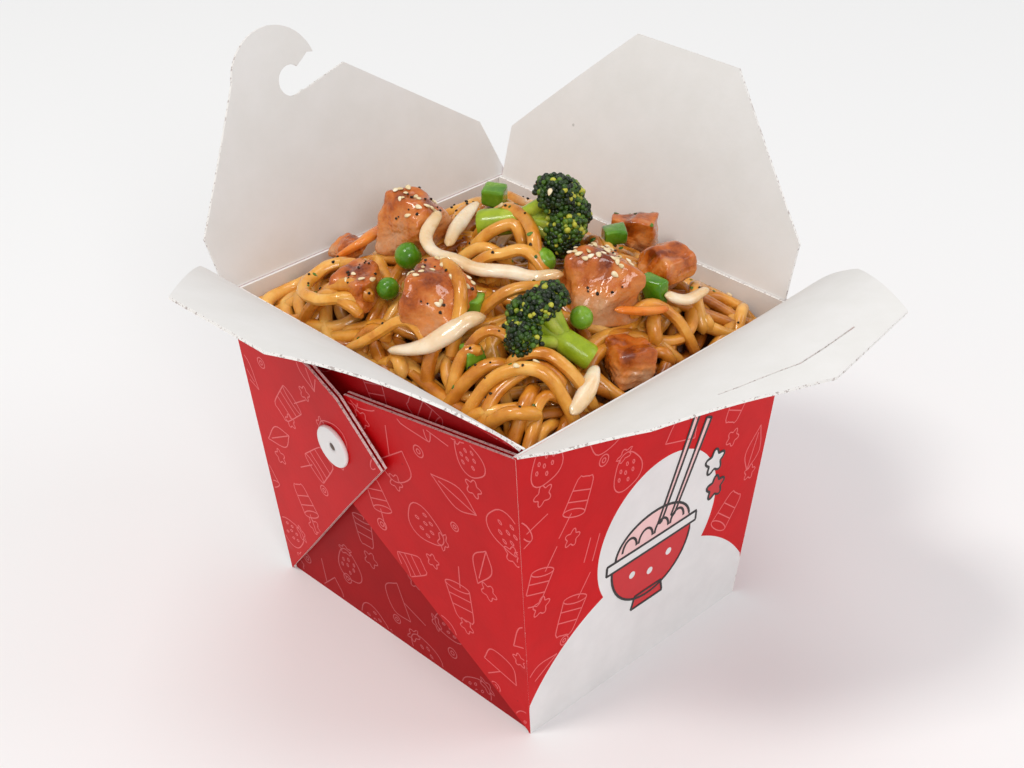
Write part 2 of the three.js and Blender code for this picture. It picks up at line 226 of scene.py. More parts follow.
# %% Floor and lamps
def lamp(name, place, size, power, colour="#ffffff"):
    """A square soft lamp at place, in metres, turned to face the box."""
    data = bpy.data.lights.new(name, "AREA")
    data.size = size
    data.energy = power
    data.color = linear(colour)[:3]
    made = bpy.data.objects.new(name, data)
    made.location = place
    made.rotation_euler = (Vector(place) - AIM).to_track_quat("Z", "Y").to_euler()
    bpy.context.scene.collection.objects.link(made)


FLOOR_REACH = 9.0  # metres, so that its edge is out of every view
floor_mesh = bpy.data.meshes.new("floor")
corners = [(x * FLOOR_REACH, y * FLOOR_REACH, 0) for x, y in ((-1, -1), (1, -1), (1, 1), (-1, 1))]
floor_mesh.from_pydata(corners, [], [(0, 1, 2, 3)])
floor = bpy.data.objects.new("floor", floor_mesh)
bpy.context.scene.collection.objects.link(floor)
# Matt paper: even and pale, so that nothing but the shadow shows on it.
values = {"Roughness": 0.9, "Specular IOR Level": 0.1}
floor_material, tree, shader = new_material("pale_paper_backdrop", values)
mottle = add_node(tree, "ShaderNodeTexNoise", {"Scale": 6.0, "Detail": 2.0})
paper = shades(tree, mottle.outputs["Fac"], [(0.3, "#ebebeb"), (0.7, "#ededed")])
tree.links.new(paper, shader.inputs["Base Color"])
floor_mesh.materials.append(floor_material)
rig.stage(floor)

world = bpy.data.worlds.new("pale_room")
bpy.context.scene.world = world
world.use_nodes = True
room = world.node_tree.nodes["Background"].inputs
room["Color"].default_value = linear("#f5f5f6")
room["Strength"].default_value = 0.56
lamp("key", (-1.1, 0.3, 2.2), 0.5, 20.0, "#fffdf8")
lamp("overhead", (0.1, 0.1, 2.6), 1.0, 10.0)
lamp("fill", (1.5, -1.5, 1.5), 1.2, 9.0, "#f8faff")
lamp("front", (-1.3, -2.1, 1.6), 0.9, 23.0)

# %% [markdown]
# ## Building meshes
# Board and food alike come from arrays of points. One function turns arrays of points and faces
# into an object, and a few random numbers per piece ride along as attributes, so that one material
# can tint each noodle or pea a little differently.


# %% Mesh helpers
def make_object(name, points, faces, materials, body, slot, marks=None, kinds=None, smooth=40):
    """An object from points in millimetres. faces is a list of arrays, one array for each face size."""
    mesh = bpy.data.meshes.new(name)
    points = np.asarray(points, float) * MM
    faces = [np.asarray(block, int) for block in faces if len(block)]
    corners = np.concatenate([block.ravel() for block in faces])
    totals = np.concatenate([np.full(len(block), block.shape[1]) for block in faces])
    mesh.vertices.add(len(points))
    mesh.vertices.foreach_set("co", points.ravel())
    mesh.loops.add(len(corners))
    mesh.loops.foreach_set("vertex_index", corners)
    mesh.polygons.add(len(totals))
    mesh.polygons.foreach_set("loop_start", np.concatenate([[0], np.cumsum(totals)[:-1]]))
    mesh.polygons.foreach_set("loop_total", totals)
    mesh.polygons.foreach_set("use_smooth", np.ones(len(totals), bool))
    for material in materials:
        mesh.materials.append(material)
    if kinds is not None:
        mesh.polygons.foreach_set("material_index", np.asarray(kinds, int))
    for key, values in (marks or {}).items():
        mesh.attributes.new(key, "FLOAT", "POINT").data.foreach_set("value", np.asarray(values, float))
    mesh.update(calc_edges=True)
    mesh.validate()
    mesh.set_sharp_from_angle(angle=math.radians(smooth))
    made = bpy.data.objects.new(name, mesh)
    bpy.context.scene.collection.objects.link(made)
    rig.ride(made, body)
    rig.slot(made, slot)
    return made


class Heap:
    """Collects many small closed shapes that become one object."""

    def __init__(self):
        self.points, self.faces, self.marks, self.count = [], {}, {}, 0

    def add(self, points, faces, **marks):
        for block in faces:
            block = np.asarray(block, int)
            self.faces.setdefault(block.shape[1], []).append(block + self.count)
        self.points.append(np.asarray(points, float))
        for key, value in marks.items():
            self.marks.setdefault(key, []).append(np.broadcast_to(value, len(points)))
        self.count += len(points)

    def build(self, name, materials, body, slot, smooth=40):
        faces = [np.concatenate(blocks) for blocks in self.faces.values()]
        marks = {key: np.concatenate(values) for key, values in self.marks.items()}
        triangles = sum(len(block) * (block.shape[1] - 2) for block in faces)
        print(f"{name}: {triangles} triangles")
        points = np.concatenate(self.points)
        return make_object(name, points, faces, materials, body, slot, marks, smooth=smooth)


def unit(vectors):
    """Each row at length one."""
    return vectors / np.maximum(np.linalg.norm(vectors, axis=-1, keepdims=True), 1e-12)


NEAR_UP = np.array([0.0, 0.0, 1.0]) + 1e-4  # a hair off the vertical, so that no strand runs along it


def ring_faces(rows, columns):
    """Side quads and end caps of a closed tube of rings, each of columns points."""
    index = np.arange(rows * columns).reshape(rows, columns)
    following = np.roll(index, -1, axis=1)
    quads = np.stack([index[:-1], following[:-1], following[1:], index[1:]], -1).reshape(-1, 4)
    return quads, np.stack([index[0, ::-1], index[-1]])


def tube(path, radii, sides=10, flat=1.0, spin=0.0):
    """Points and faces of a closed tube with an oval section: radii across, flat times that upwards."""
    path = np.asarray(path, float)
    radii = np.broadcast_to(radii, len(path))
    ahead = unit(np.gradient(path, axis=0))
    across = unit(np.cross(ahead, NEAR_UP))
    above = np.cross(across, ahead)
    angle = 2 * np.pi * np.arange(sides) / sides
    turn = np.broadcast_to(spin, len(path))[:, None]
    wide = np.cos(angle)[None] * radii[:, None]
    high = np.sin(angle)[None] * radii[:, None] * flat
    wide, high = wide * np.cos(turn) - high * np.sin(turn), wide * np.sin(turn) + high * np.cos(turn)
    rings = path[:, None] + wide[..., None] * across[:, None] + high[..., None] * above[:, None]
    quads, caps = ring_faces(len(path), sides)
    return rings.reshape(-1, 3), [quads[:, ::-1], caps[:, ::-1]]


def rounded_ends(path, radius):
    """Radii along a path that close to a round end over the last radius of length at each end."""
    steps = np.linalg.norm(np.diff(path, axis=0), axis=1)
    along = np.concatenate([[0], np.cumsum(steps)])
    near = np.minimum(along, along[-1] - along) / radius
    return radius * np.sqrt(np.clip(1 - (1 - np.clip(near, 0.03, 1)) ** 2, 0, 1))


def smooth_curve(points, step):
    """Catmull-Rom points through the given ones, about step apart."""
    points = np.asarray(points, float)
    ends = np.concatenate([[2 * points[0] - points[1]], points, [2 * points[-1] - points[-2]]])
    out = []
    for before, start, end, after in zip(ends, ends[1:], ends[2:], ends[3:]):
        count = max(2, int(np.linalg.norm(end - start) / step))
        t = np.linspace(0, 1, count, endpoint=False)[:, None]
        bend = 2 * before - 5 * start + 4 * end - after
        twist = 3 * start - before - 3 * end + after
        out.append(0.5 * (2 * start + (end - before) * t + bend * t ** 2 + twist * t ** 3))
    return np.concatenate([*out, points[-1:]])


# %% [markdown]
# ## Board
# Takeaway boxes are die cut from bleached board, about 0.6 mm thick, clay coated so that it prints
# well and stays white inside. A board piece could be a box or a plane with a solidify modifier. Here
# each piece starts, as the real one does, from its flat cut outline: a fine triangle net fills the
# outline, a placing function folds or curls the net into the carton, and the net gets a printed
# face, a bare face and a cut edge. The print stays in the flat piece's own millimetres.

# %% Board sizes
RIM_X, RIM_Y, BASE_X, BASE_Y = 100.0, 104.0, 80.0, 95.0
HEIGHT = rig.box("carton")[1].z / MM
THICK = 0.7
INSET_RIM, INSET_BASE = 3.2, 0.8  # how far the inner panels stand inside the folded webs
PLY_PITCH, WEB_LEAN = 1.3, 0.0577  # from ply to ply, and how steeply the upper web stands off
HINGE_OUT, HINGE_UP = 0.6, 0.8  # from the rim to a flap's crease
print("carton height", round(HEIGHT, 1))


# %% Board functions
def inside(points, outline):
    """Which points lie inside a closed outline."""
    x, y = points[:, 0][:, None], points[:, 1][:, None]
    a = np.asarray(outline, float)
    b = np.roll(a, -1, axis=0)
    crosses = (a[:, 1] > y) != (b[:, 1] > y)
    with np.errstate(divide="ignore", invalid="ignore"):
        at = (b[:, 0] - a[:, 0]) * (y - a[:, 1]) / (b[:, 1] - a[:, 1]) + a[:, 0]
    return (crosses & (x < at)).sum(1) % 2 == 1


def arc(centre, radius, start, end, step=1.5):
    """Points on a circle between two angles, in degrees."""
    count = max(3, int(abs(math.radians(end - start)) * radius / step))
    angles = np.radians(np.linspace(start, end, count))
    return [(centre[0] + radius * math.cos(a), centre[1] + radius * math.sin(a)) for a in angles]


def board(name, outline, place, body, materials, slot="bare_board", step=3.0, thick=THICK,
          holes=(), lines=(), kind_of=None, lift=0.0, bare_above=None):
    """A board piece. place maps flat millimetres to points and to normals on the printed side.
    lines are extra creases in the net, kind_of picks each printed triangle's material, and cut edges
    above bare_above stay white."""
    outline = np.asarray(outline, float)
    loops = [outline, *[np.asarray(hole, float) for hole in holes]]
    points, edges = [], []
    chains = [(loop, True) for loop in loops] + [(np.asarray(line, float), False) for line in lines]
    for loop, closed in chains:
        start = len(points)
        cuts = zip(loop, np.roll(loop, -1, axis=0)) if closed else zip(loop, loop[1:])
        for a, b in cuts:
            count = max(1, math.ceil(np.linalg.norm(b - a) / step))
            points.extend(a + (b - a) * k / count for k in range(count))
        if not closed:
            points.append(loop[-1])
        total = len(points) - start
        edges.extend((start + k, start + (k + 1) % total) for k in range(total - (0 if closed else 1)))
    low, high = outline.min(0), outline.max(0)
    across, along = np.meshgrid(*[np.arange(a + step / 2, b, step) for a, b in zip(low, high)])
    grid = np.stack([across.ravel(), along.ravel()], 1)
    edge_points = np.asarray(points)
    far = np.array([np.min(np.sum((edge_points - p) ** 2, 1)) > (0.45 * step) ** 2 for p in grid])
    grid = grid[far & inside(grid, outline)]
    flat = [Vector(p) for p in [*points, *grid]]
    verts, _, triangles, *_ = delaunay_2d_cdt(flat, edges, [], 0, 1e-5)
    verts = np.array([tuple(v) for v in verts])
    triangles = np.array([t for t in triangles if len(t) == 3])
    middle = verts[triangles].mean(1)
    keep = inside(middle, outline)
    for hole in holes:
        keep &= ~inside(middle, hole)
    triangles, middle = triangles[keep], middle[keep]
    where, normal = place(verts[:, 0], verts[:, 1])
    front = where + normal * (thick / 2 + lift)
    rear = where - normal * (thick / 2 - lift)
    a, b, c = (front[triangles[:, k]] for k in range(3))
    facing = np.einsum("ij,ij->i", np.cross(b - a, c - a), normal[triangles[:, 0]])
    if facing.sum() < 0:
        triangles = triangles[:, ::-1]
    sides = np.concatenate([triangles[:, [0, 1]], triangles[:, [1, 2]], triangles[:, [2, 0]]])
    keys = np.sort(sides, axis=1)
    _, first, counts = np.unique(keys, axis=0, return_index=True, return_counts=True)
    rim = sides[first[counts == 1]]
    total = len(verts)
    walls = np.stack([rim[:, 1], rim[:, 0], rim[:, 0] + total, rim[:, 1] + total], 1)
    printed = np.zeros(len(triangles), int) if kind_of is None else kind_of(middle[:, 0], middle[:, 1])
    edge_kind = np.full(len(walls), 2)
    if bare_above is not None:
        edge_kind[(verts[rim][:, :, 1] > bare_above).all(1)] = 1
    kinds = np.concatenate([printed, np.full(len(triangles), 1), edge_kind])
    return make_object(
        name, np.concatenate([front, rear]), [np.concatenate([triangles, triangles[:, ::-1] + total]), walls],
        materials, body, slot, kinds=kinds, smooth=30,
    )


def wall(outward, base_half, rim_half, depth=0.0, lean=0.0, bulge=0.0):
    """Placing on a flat wall: x to the right seen from outside, y up its slope. depth sinks it, lean
    swings it out about its left edge, and bulge bows it a little, as a full box does."""
    outward = np.array(outward, float)
    up = np.array([0.0, 0.0, 1.0])
    right = np.cross(up, outward)
    slope = math.atan2(rim_half - base_half, HEIGHT)
    rise = outward * math.sin(slope) + up * math.cos(slope)
    normal = np.cross(right, rise)

    def place(x, y):
        stand = -depth + lean * (x + RIM_Y / 2)
        stand = stand + bulge * np.cos(np.pi * x / 110) * np.sin(np.pi * np.clip(y / HEIGHT, 0, 1))
        where = outward * base_half + x[:, None] * right + y[:, None] * rise + stand[:, None] * normal
        return where, np.broadcast_to(normal, where.shape)

    return place


def curl(outward, wall_half, reach, crease_left, edge_left, crease_right=None, edge_right=None):
    """Placing on a flap: x along the crease, to the right seen from inside, y away from the crease.
    Its lift falls evenly from the crease to the free edge, so that the flap is part of a roll. Other
    lifts at the right end twist it."""
    outward = np.array(outward, float)
    up = np.array([0.0, 0.0, 1.0])
    right = np.cross(outward, up)
    crease = np.radians([crease_left, crease_left if crease_right is None else crease_right])
    edge = np.radians([edge_left, edge_left if edge_right is None else edge_right])

    def place(x, y):
        across = x / RIM_X + 0.5
        start = crease[0] + (crease[1] - crease[0]) * across
        turn = (edge[0] + (edge[1] - edge[0]) * across - start) / reach
        lift = start + turn * y
        out = (np.sin(lift) - np.sin(start)) / turn
        rise = (np.cos(start) - np.cos(lift)) / turn
        normal = np.sin(lift)[:, None] * outward - np.cos(lift)[:, None] * up
        where = (x[:, None] * right + (wall_half + HINGE_OUT + out)[:, None] * outward
                 + (HEIGHT + HINGE_UP + rise)[:, None] * up)
        sway = 0.25 * np.sin(x / 17) * np.clip(y / 20, 0, 1)
        return where + sway[:, None] * normal, normal

    return place


# %% [markdown]
# ## Board finishes
# The outside is offset printed red under a thin satin varnish; the inside is bare clay coating,
# almost white, with the faint fibre mottling and stray dark fibres of recycled pulp. Where the board
# is cut, its white core shows with flecks of ink on the lip; where it is folded, the ink cracks.

# %% Board materials
def board_coating(name, light, dark, rough, fleck, gloss=0.3):
    """Clay-coated board: soft fibre mottling, stray dark fibres and a very fine tooth."""
    values = {"Roughness": rough, "IOR": 1.5, "Specular IOR Level": gloss}
    material, tree, shader = new_material(name, values)
    at = add_node(tree, "ShaderNodeTexCoord").outputs["Object"]
    inputs = {"Vector": at, "Scale": 90.0, "Detail": 4.0, "Roughness": 0.6}
    mottle = add_node(tree, "ShaderNodeTexNoise", inputs)
    colour = shades(tree, mottle.outputs["Fac"], [(0.35, dark), (0.65, light)])
    # Stray fibres are about 0.3 mm across and a few centimetres apart.
    spots = add_node(tree, "ShaderNodeTexVoronoi", {"Vector": at, "Scale": 170.0, "Randomness": 1.0})
    rare = add_node(tree, "ShaderNodeSeparateColor", {"Color": spots.outputs["Color"]})
    chosen = add_node(tree, "ShaderNodeMath", {0: rare.outputs["Red"], 1: 0.965}, operation="GREATER_THAN")
    near = add_node(tree, "ShaderNodeMath", {0: spots.outputs["Distance"], 1: 0.07}, operation="LESS_THAN")
    fibre = add_node(tree, "ShaderNodeMath", {0: chosen.outputs[0], 1: near.outputs[0]}, operation="MULTIPLY")
    faint = add_node(tree, "ShaderNodeMath", {0: fibre.outputs[0], 1: 0.45}, operation="MULTIPLY")
    inputs = {0: faint.outputs[0], 6: colour, 7: linear(fleck)}
    mixed = add_node(tree, "ShaderNodeMix", inputs, data_type="RGBA")
    tree.links.new(mixed.outputs[2], shader.inputs["Base Color"])
    tooth = add_node(tree, "ShaderNodeTexNoise", {"Vector": at, "Scale": 900.0, "Detail": 3.0})
    relief(tree, shader, tooth.outputs["Fac"], 0.12, 0.0002)
    return material


# The inside: matt and a little warm, with fibres in it.
bare_board = board_coating("clay_coated_board", "#e4e2e0", "#e0dedb", 0.62, "#8d8a86")
# Unprinted board under varnish: whiter and smoother.
white_print = board_coating("varnished_white_board", "#e6e4e3", "#dfdddc", 0.42, "#b9b6b4")
# Red ink: the varnish gives it a faint sheen, low enough that the colour stays deep.
red_print = board_coating("varnished_red_ink", "#cb0a12", "#c2080f", 0.45, "#8d0a10", gloss=0.14)
# The panel that the folded webs cover is printed a darker red: painted shade, standing in for the shade of the webs
# over it, so that the folds stand out from it.
shaded_red_print = board_coating("deep_red_ink", "#a3090f", "#9b080e", 0.5, "#70070b", gloss=0.1)


def worn_edge(name, main, chip, share):
    """A cut or folded edge: the main colour, chipped here and there along its length."""
    material, tree, shader = new_material(name, {"Roughness": 0.8})
    at = add_node(tree, "ShaderNodeTexCoord").outputs["Object"]
    # Chips are about half a millimetre long.
    inputs = {"Vector": at, "Scale": 1100.0, "Detail": 3.0, "Roughness": 0.7}
    grain = add_node(tree, "ShaderNodeTexNoise", inputs).outputs["Fac"]
    colour = shades(tree, grain, [(share - 0.02, chip), (share + 0.04, main)])
    tree.links.new(colour, shader.inputs["Base Color"])
    relief(tree, shader, grain, 0.3, 0.0002)
    return material


cut_edge = worn_edge("cut_board_edge", "#e8e5e1", "#b3a8a4", 0.42)
fold_edge = worn_edge("folded_red_edge", "#c00d15", "#dfc6c2", 0.38)
OUTSIDE_RED = [red_print, bare_board, cut_edge, white_print]
FOLDED_RED = [red_print, bare_board, fold_edge, white_print]
# The inner panels take the darker red, which is painted shade.
PANEL_RED_PAINTED_SHADE = [shaded_red_print, bare_board, cut_edge, white_print]


def ink(name, colour):
    """A solid spot of offset ink under varnish, with the slight unevenness of a printed film."""
    material, tree, shader = new_material(name, {"Roughness": 0.45})
    at = add_node(tree, "ShaderNodeTexCoord").outputs["Object"]
    film = add_node(tree, "ShaderNodeTexNoise", {"Vector": at, "Scale": 500.0, "Detail": 2.0})
    inputs = {"Value": film.outputs["Fac"], "To Min": 0.93, "To Max": 1.07}
    value = add_node(tree, "ShaderNodeMapRange", inputs).outputs["Result"]
    uneven = add_node(tree, "ShaderNodeHueSaturation", {"Color": linear(colour), "Value": value})
    tree.links.new(uneven.outputs["Color"], shader.inputs["Base Color"])
    return material


pale_ink = ink("pale_pink_ink", "#df6466")
# The drawings on the inner panels are a dimmer pink: painted shade, like the panels' darker red.
shaded_pink_ink = ink("dim_pink_ink", "#b8494e")
black_ink = ink("black_ink", "#1c1919")
blush_ink = ink("blush_ink", "#eec3c1")
red_spot = ink("red_spot_ink", "#c8141d")

# %% [markdown]
# ## Carton walls
# Two opposite walls are plain panels. On the other two the spare board at the corners is folded in
# half and laid flat over the panel, one side over the other, so no seam can leak. Each of those
# webs is two plies: their cut top edges show as a double white line, and the upper web's tab locks
# across the lower one under a button.

# %% Walls, floor and webs
FACES = {"front": (-1, 0, 0), "back": (1, 0, 0), "slit": (0, -1, 0), "hook": (0, 1, 0)}
SLOPE_X = math.hypot(HEIGHT, (RIM_X - BASE_X) / 2)
SLOPE_Y = math.hypot(HEIGHT, (RIM_Y - BASE_Y) / 2)
LIP = 0.6  # the walls run on up to their creases
panel = [(-BASE_X / 2, 0), (BASE_X / 2, 0), (RIM_X / 2, SLOPE_Y + LIP), (-RIM_X / 2, SLOPE_Y + LIP)]
HILL, SUN = ((1, -13), 48.0), ((3, 43), 22.5)  # the white field at the foot, and the pale disc


def white_fields(x, y):
    """Red print with a white hill at the foot and a white disc above it."""
    low = np.hypot(x - HILL[0][0], y - HILL[0][1]) < HILL[1]
    disc = np.hypot(x - SUN[0][0], y - SUN[0][1]) < SUN[1]
    return np.where(low | disc, 3, 0)


hill_line = [p for p in arc(*HILL, 160, 10) if inside(np.array([p]), panel)[0]]
disc_line = arc(*SUN, 0, 360)
full_walls = {}
for side in ("slit", "hook"):
    full_walls[side] = wall(FACES[side], BASE_Y / 2, RIM_Y / 2, depth=THICK / 2, bulge=0.5)
    board(f"wall_{side}", panel, full_walls[side], "carton", FOLDED_RED, "printed_board",
          lines=[hill_line, disc_line], kind_of=white_fields, bare_above=SLOPE_Y - 0.5)

KNEE, PEAK, TAB = (-12.6, 43.2), (-8.7, 80.3), (6.5, 66.1)
under_web = [(BASE_Y / 2, 0), (RIM_Y / 2, SLOPE_X), PEAK, KNEE]
over_web = [(-BASE_Y / 2, 0), KNEE, TAB, PEAK, (-18.8, 84.8), (-RIM_Y / 2, SLOPE_X)]
inner_panel = [(-BASE_Y / 2 + 0.3, 0), (BASE_Y / 2 - 0.3, 0), (RIM_Y / 2 - 0.8, SLOPE_X + LIP),
               (-RIM_Y / 2 + 0.8, SLOPE_X + LIP)]
web_faces, inner_faces = {}, {}
for side in ("front", "back"):
    inner_faces[side] = wall(FACES[side], BASE_X / 2 - INSET_BASE, RIM_X / 2 - INSET_RIM,
                             depth=THICK / 2, bulge=0.3)
    # The inner panel is printed in the darker red of painted shade.
    board(f"panel_{side}", inner_panel, inner_faces[side], "carton", PANEL_RED_PAINTED_SHADE, "printed_board")
    for ply in (0, 1):
        depth = THICK / 2 + ply * PLY_PITCH
        under = wall(FACES[side], BASE_X / 2, RIM_X / 2, depth=depth)
        over = wall(FACES[side], BASE_X / 2, RIM_X / 2, depth=depth, lean=WEB_LEAN)
        board(f"under_web_{side}_{ply}", under_web, under, "carton", OUTSIDE_RED, "printed_board")
        board(f"over_web_{side}_{ply}", over_web, over, "carton", OUTSIDE_RED, "printed_board")
        if ply == 0:
            web_faces[side] = (under, over)


def base_place(x, y):
    """The flat base, with its printed side down."""
    where = np.stack([x, y, np.full(len(x), THICK / 2)], 1)
    return where, np.broadcast_to(np.array([0.0, 0.0, -1.0]), where.shape)


FLOOR_X = BASE_X / 2 - INSET_BASE - 0.05  # the base stops at the two inner panels
base = [(-FLOOR_X, -BASE_Y / 2), (FLOOR_X, -BASE_Y / 2), (FLOOR_X, BASE_Y / 2), (-FLOOR_X, BASE_Y / 2)]
base_piece = board("carton_base", base, base_place, "carton", FOLDED_RED, "printed_board", step=8.0)
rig.replaces(base_piece, "carton")

# %% [markdown]
# ## Flaps
# The four flaps are free ends of the same sheet. Rolled for years on a reel, board keeps a little of
# its curl, so the two near flaps droop over their length and the far ones stand almost straight. One
# ends in a hook, and the one opposite has the slit that the hook catches.

# %% Flap outlines
HALF = RIM_X / 2
DUST = RIM_Y / 2 - 1.2
ROOT = -0.2
REACH_DUST, REACH_SLIT, REACH_HOOK = 51.0, 50.0, 61.0


def dust_flap(left, right):
    """Outline of a flap with straight shoulders whose free edge runs from left to right."""
    return [(-DUST, ROOT), (DUST, ROOT), (DUST, 15), (right, REACH_DUST), (left, REACH_DUST), (-DUST, 15)]


front_flap, back_flap = dust_flap(-17, 17), dust_flap(-15, 19)
slit_flap = [(-HALF, ROOT), (HALF, ROOT), (48, 11), (36, 29), (11, 46), (0, 51.5),
             (-34, 47.5), (-48.5, 24), (-49.5, 12)]
slit_line = [(-20, 42.6), (-8, 42.5), (0, 42), (14.4, 36.1), (18.7, 33.8)]
slit = [*slit_line, *[(x, y - 0.45) for x, y in slit_line[::-1]]]
head, slot_at = (28 - HALF, 47.5), (32.5 - HALF, 46.0)
hook_flap = [(-HALF, ROOT), (HALF, ROOT), (43, 17), (0, 46),
             (slot_at[0] + 3.2, slot_at[1] - 3.4), *arc(slot_at, 4.0, -50, -310, 0.7),
             (slot_at[0] + 2.6, slot_at[1] + 3), (slot_at[0] + 6.5, slot_at[1] + 5.6),
             *arc(head, 13.5, 16, 171, 1.0), (head[0] - 13.5, head[1] + 2), (-HALF - 3, 15)]

flap_specs = {
    "flap_front": (front_flap, (), curl(FACES["front"], RIM_X / 2 - INSET_RIM, REACH_DUST, 50, 18), DUST),
    "flap_back": (back_flap, (), curl(FACES["back"], RIM_X / 2 - INSET_RIM, REACH_DUST, 76, 68), DUST),
    "flap_slit": (slit_flap, [slit], curl(FACES["slit"], RIM_Y / 2, REACH_SLIT, 58, -10, 30, 14), HALF),
    "flap_hook": (hook_flap, (), curl(FACES["hook"], RIM_Y / 2, REACH_HOOK, 80, 75), HALF),
}
for name, (outline, holes, place, half) in flap_specs.items():
    body = name + "_body"
    piece = board(name + "_sheet", outline, place, body, OUTSIDE_RED, holes=holes, step=2.5)
    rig.replaces(piece, name)
    # The crease is a small roll of board on the hinge line, printed on the outside only.
    ends = place(np.array([-half + 0.2, half - 0.2]), np.zeros(2))[0]
    line = ends[0] + (ends[1] - ends[0]) * np.linspace(0, 1, 40)[:, None]
    points, (quads, caps) = tube(line, 0.45, sides=8)
    outward = np.array(FACES[name.split("_")[1]])
    facing = (points[quads].mean(1) - line.mean(0)) @ outward
    kinds = [*np.where(facing > 0.1, 1, 0), 0, 0]
    make_object(name + "_crease", points, [quads, caps], [bare_board, fold_edge], body, "bare_board",
                kinds=kinds)

# %% [markdown]
# ## Printed pattern
# The red outside carries a scatter of thin pink line drawings. A pattern like this could be drawn in
# the shader, but each little drawing is only a few strokes, so the strokes are laid as a film of ink:
# narrow ribbons that follow the same fold or curl as the board under them. The drawings are plain
# ones: stars, rings, berries, cups, leaves and bowls.


# %% Ink strokes
def stroke_clips(points, outline, margin=0.7):
    """The runs of a line's points that lie on the board, at least margin from its edge."""
    start = np.asarray(outline, float)
    side = np.roll(start, -1, axis=0) - start
    away = points[:, None] - start[None]
    along = np.clip((away * side).sum(-1) / (side * side).sum(-1), 0, 1)
    near = np.linalg.norm(away - along[..., None] * side, axis=-1).min(1)
    on = inside(points, outline) & (near > margin)
    runs, run = [], []
    for point, keep in zip(points, on):
        if keep:
            run.append(point)
        elif run:
            runs.append(np.array(run))
            run = []
    if run:
        runs.append(np.array(run))
    return [r for r in runs if len(r) > 2]


def lay_ink(name, strokes, place, body, slot, material, width=0.3, film=0.02):
    """Ribbons of ink along strokes, each a line of points in flat millimetres."""
    heap = Heap()
    for line in strokes:
        line = np.asarray(line, float)
        ahead = unit(np.gradient(line, axis=0))
        side = np.stack([-ahead[:, 1], ahead[:, 0]], 1) * width / 2
        rings = []
        for edge, level in ((side, film), (-side, film), (-side, -0.1), (side, -0.1)):
            where, normal = place((line + edge)[:, 0], (line + edge)[:, 1])
            rings.append(where + normal * (THICK / 2 + level))
        heap.add(np.stack(rings, 1).reshape(-1, 3), ring_faces(len(line), 4))
    return heap.build(name, [material], body, slot)


def ring(radius, count=20, squash=1.0, lobes=0, depth=0.0):
    """A closed outline: a circle, an oval or, with lobes, a star or a flower."""
    angle = np.linspace(0, 2 * np.pi, count + 1)
    reach = radius * (1 + depth * np.cos(lobes * angle))
    return np.stack([reach * np.sin(angle), squash * reach * np.cos(angle)], 1)


SEEDS = ((-0.6, 0.5), (0.1, 0.7), (0.7, 0.4), (-0.9, -0.1), (-0.2, 0.05), (0.5, -0.2), (-0.1, -0.7))
CUP = [(-0.34, 0.3), (-0.24, -0.45), (-0.1, -0.5), (0.1, -0.5), (0.24, -0.45), (0.34, 0.3)]


def doodle(kind, size):
    """The strokes of one small drawing about the origin, roughly as tall as size."""
    if kind == "star":
        return [ring(0.42 * size, 40, lobes=5, depth=0.24)]
    if kind == "ring":
        return [ring(0.3 * size, 16), ring(0.12 * size, 10)]
    if kind == "berry":
        body = ring(0.42 * size, 30, squash=1.15, lobes=3, depth=0.09)
        leaf = ring(0.2 * size, 24, squash=0.6, lobes=5, depth=0.3) + [0, 0.5 * size]
        seeds = [ring(0.03 * size, 6, squash=1.8) + 0.3 * size * np.array(p) for p in SEEDS]
        return [body, leaf, *seeds]
    if kind == "cup":
        sides = smooth_curve(CUP, 0.06) * size
        lid = ring(0.34 * size, 20, squash=0.28) + [0, 0.3 * size]
        straw = smooth_curve([(0.08, 0.3), (0.2, 0.85)], 0.1) * size
        band = smooth_curve([(-0.3, 0.05), (0.3, 0.05)], 0.1) * size
        foot = smooth_curve([(-0.27, -0.2), (0.27, -0.2)], 0.1) * size
        return [sides, lid, straw, band, foot]
    if kind == "leaf":
        half = smooth_curve([(0, -0.6), (0.28, -0.1), (0, 0.6)], 0.1) * size
        rib = smooth_curve([(0, -0.6), (0, 0.4)], 0.15) * size
        return [half, half * [-1, 1], rib]
    bowl = smooth_curve([(-0.5, 0.1), (-0.32, -0.4), (0.32, -0.4), (0.5, 0.1)], 0.1) * size
    lip = smooth_curve([(-0.5, 0.1), (0.5, 0.1)], 0.15) * size
    stick = smooth_curve([(0.0, 0.1), (0.45, 0.65)], 0.15) * size
    return [bowl, lip, stick]


PITCH = 20.0  # from one large drawing to the next
ROW_PITCH = PITCH * 0.85
SMALL_KINDS, SMALL_SIZES = ("star", "ring", "star"), (4.2, 6.0)
LARGE_KINDS, LARGE_SIZES = ("berry", "cup", "leaf", "bowl", "cup", "berry"), (11.0, 13.5)


def pattern(seed, outline, clear_of=None):
    """Strokes for a whole board piece: large drawings on a staggered grid and small ones between."""
    rng = np.random.default_rng(seed)
    outline = np.asarray(outline, float)
    low, high = outline.min(0), outline.max(0)
    strokes = []
    rows = int((high[1] - low[1]) / ROW_PITCH) + 2
    columns = int((high[0] - low[0]) / PITCH) + 2
    for row in range(rows):
        for column in range(columns):
            for small in (False, True):
                shift = column + 0.5 * (row % 2) + (0.5 if small else 0)
                spot = low + [PITCH * shift, ROW_PITCH * row]
                spot = spot + rng.uniform(-1.8, 1.8, 2) + ([0, PITCH * 0.42] if small else [0, 0])
                kinds = SMALL_KINDS if small else LARGE_KINDS
                kind = kinds[rng.integers(len(kinds))]
                size = rng.uniform(*(SMALL_SIZES if small else LARGE_SIZES))
                turn = rng.uniform(0, 2 * np.pi)
                spin = np.array([[math.cos(turn), -math.sin(turn)], [math.sin(turn), math.cos(turn)]])
                for line in doodle(kind, size):
                    for run in stroke_clips(line @ spin.T + spot, outline):
                        if clear_of is None or not clear_of(run[:, 0], run[:, 1]).any():
                            strokes.append(run)
    return strokes


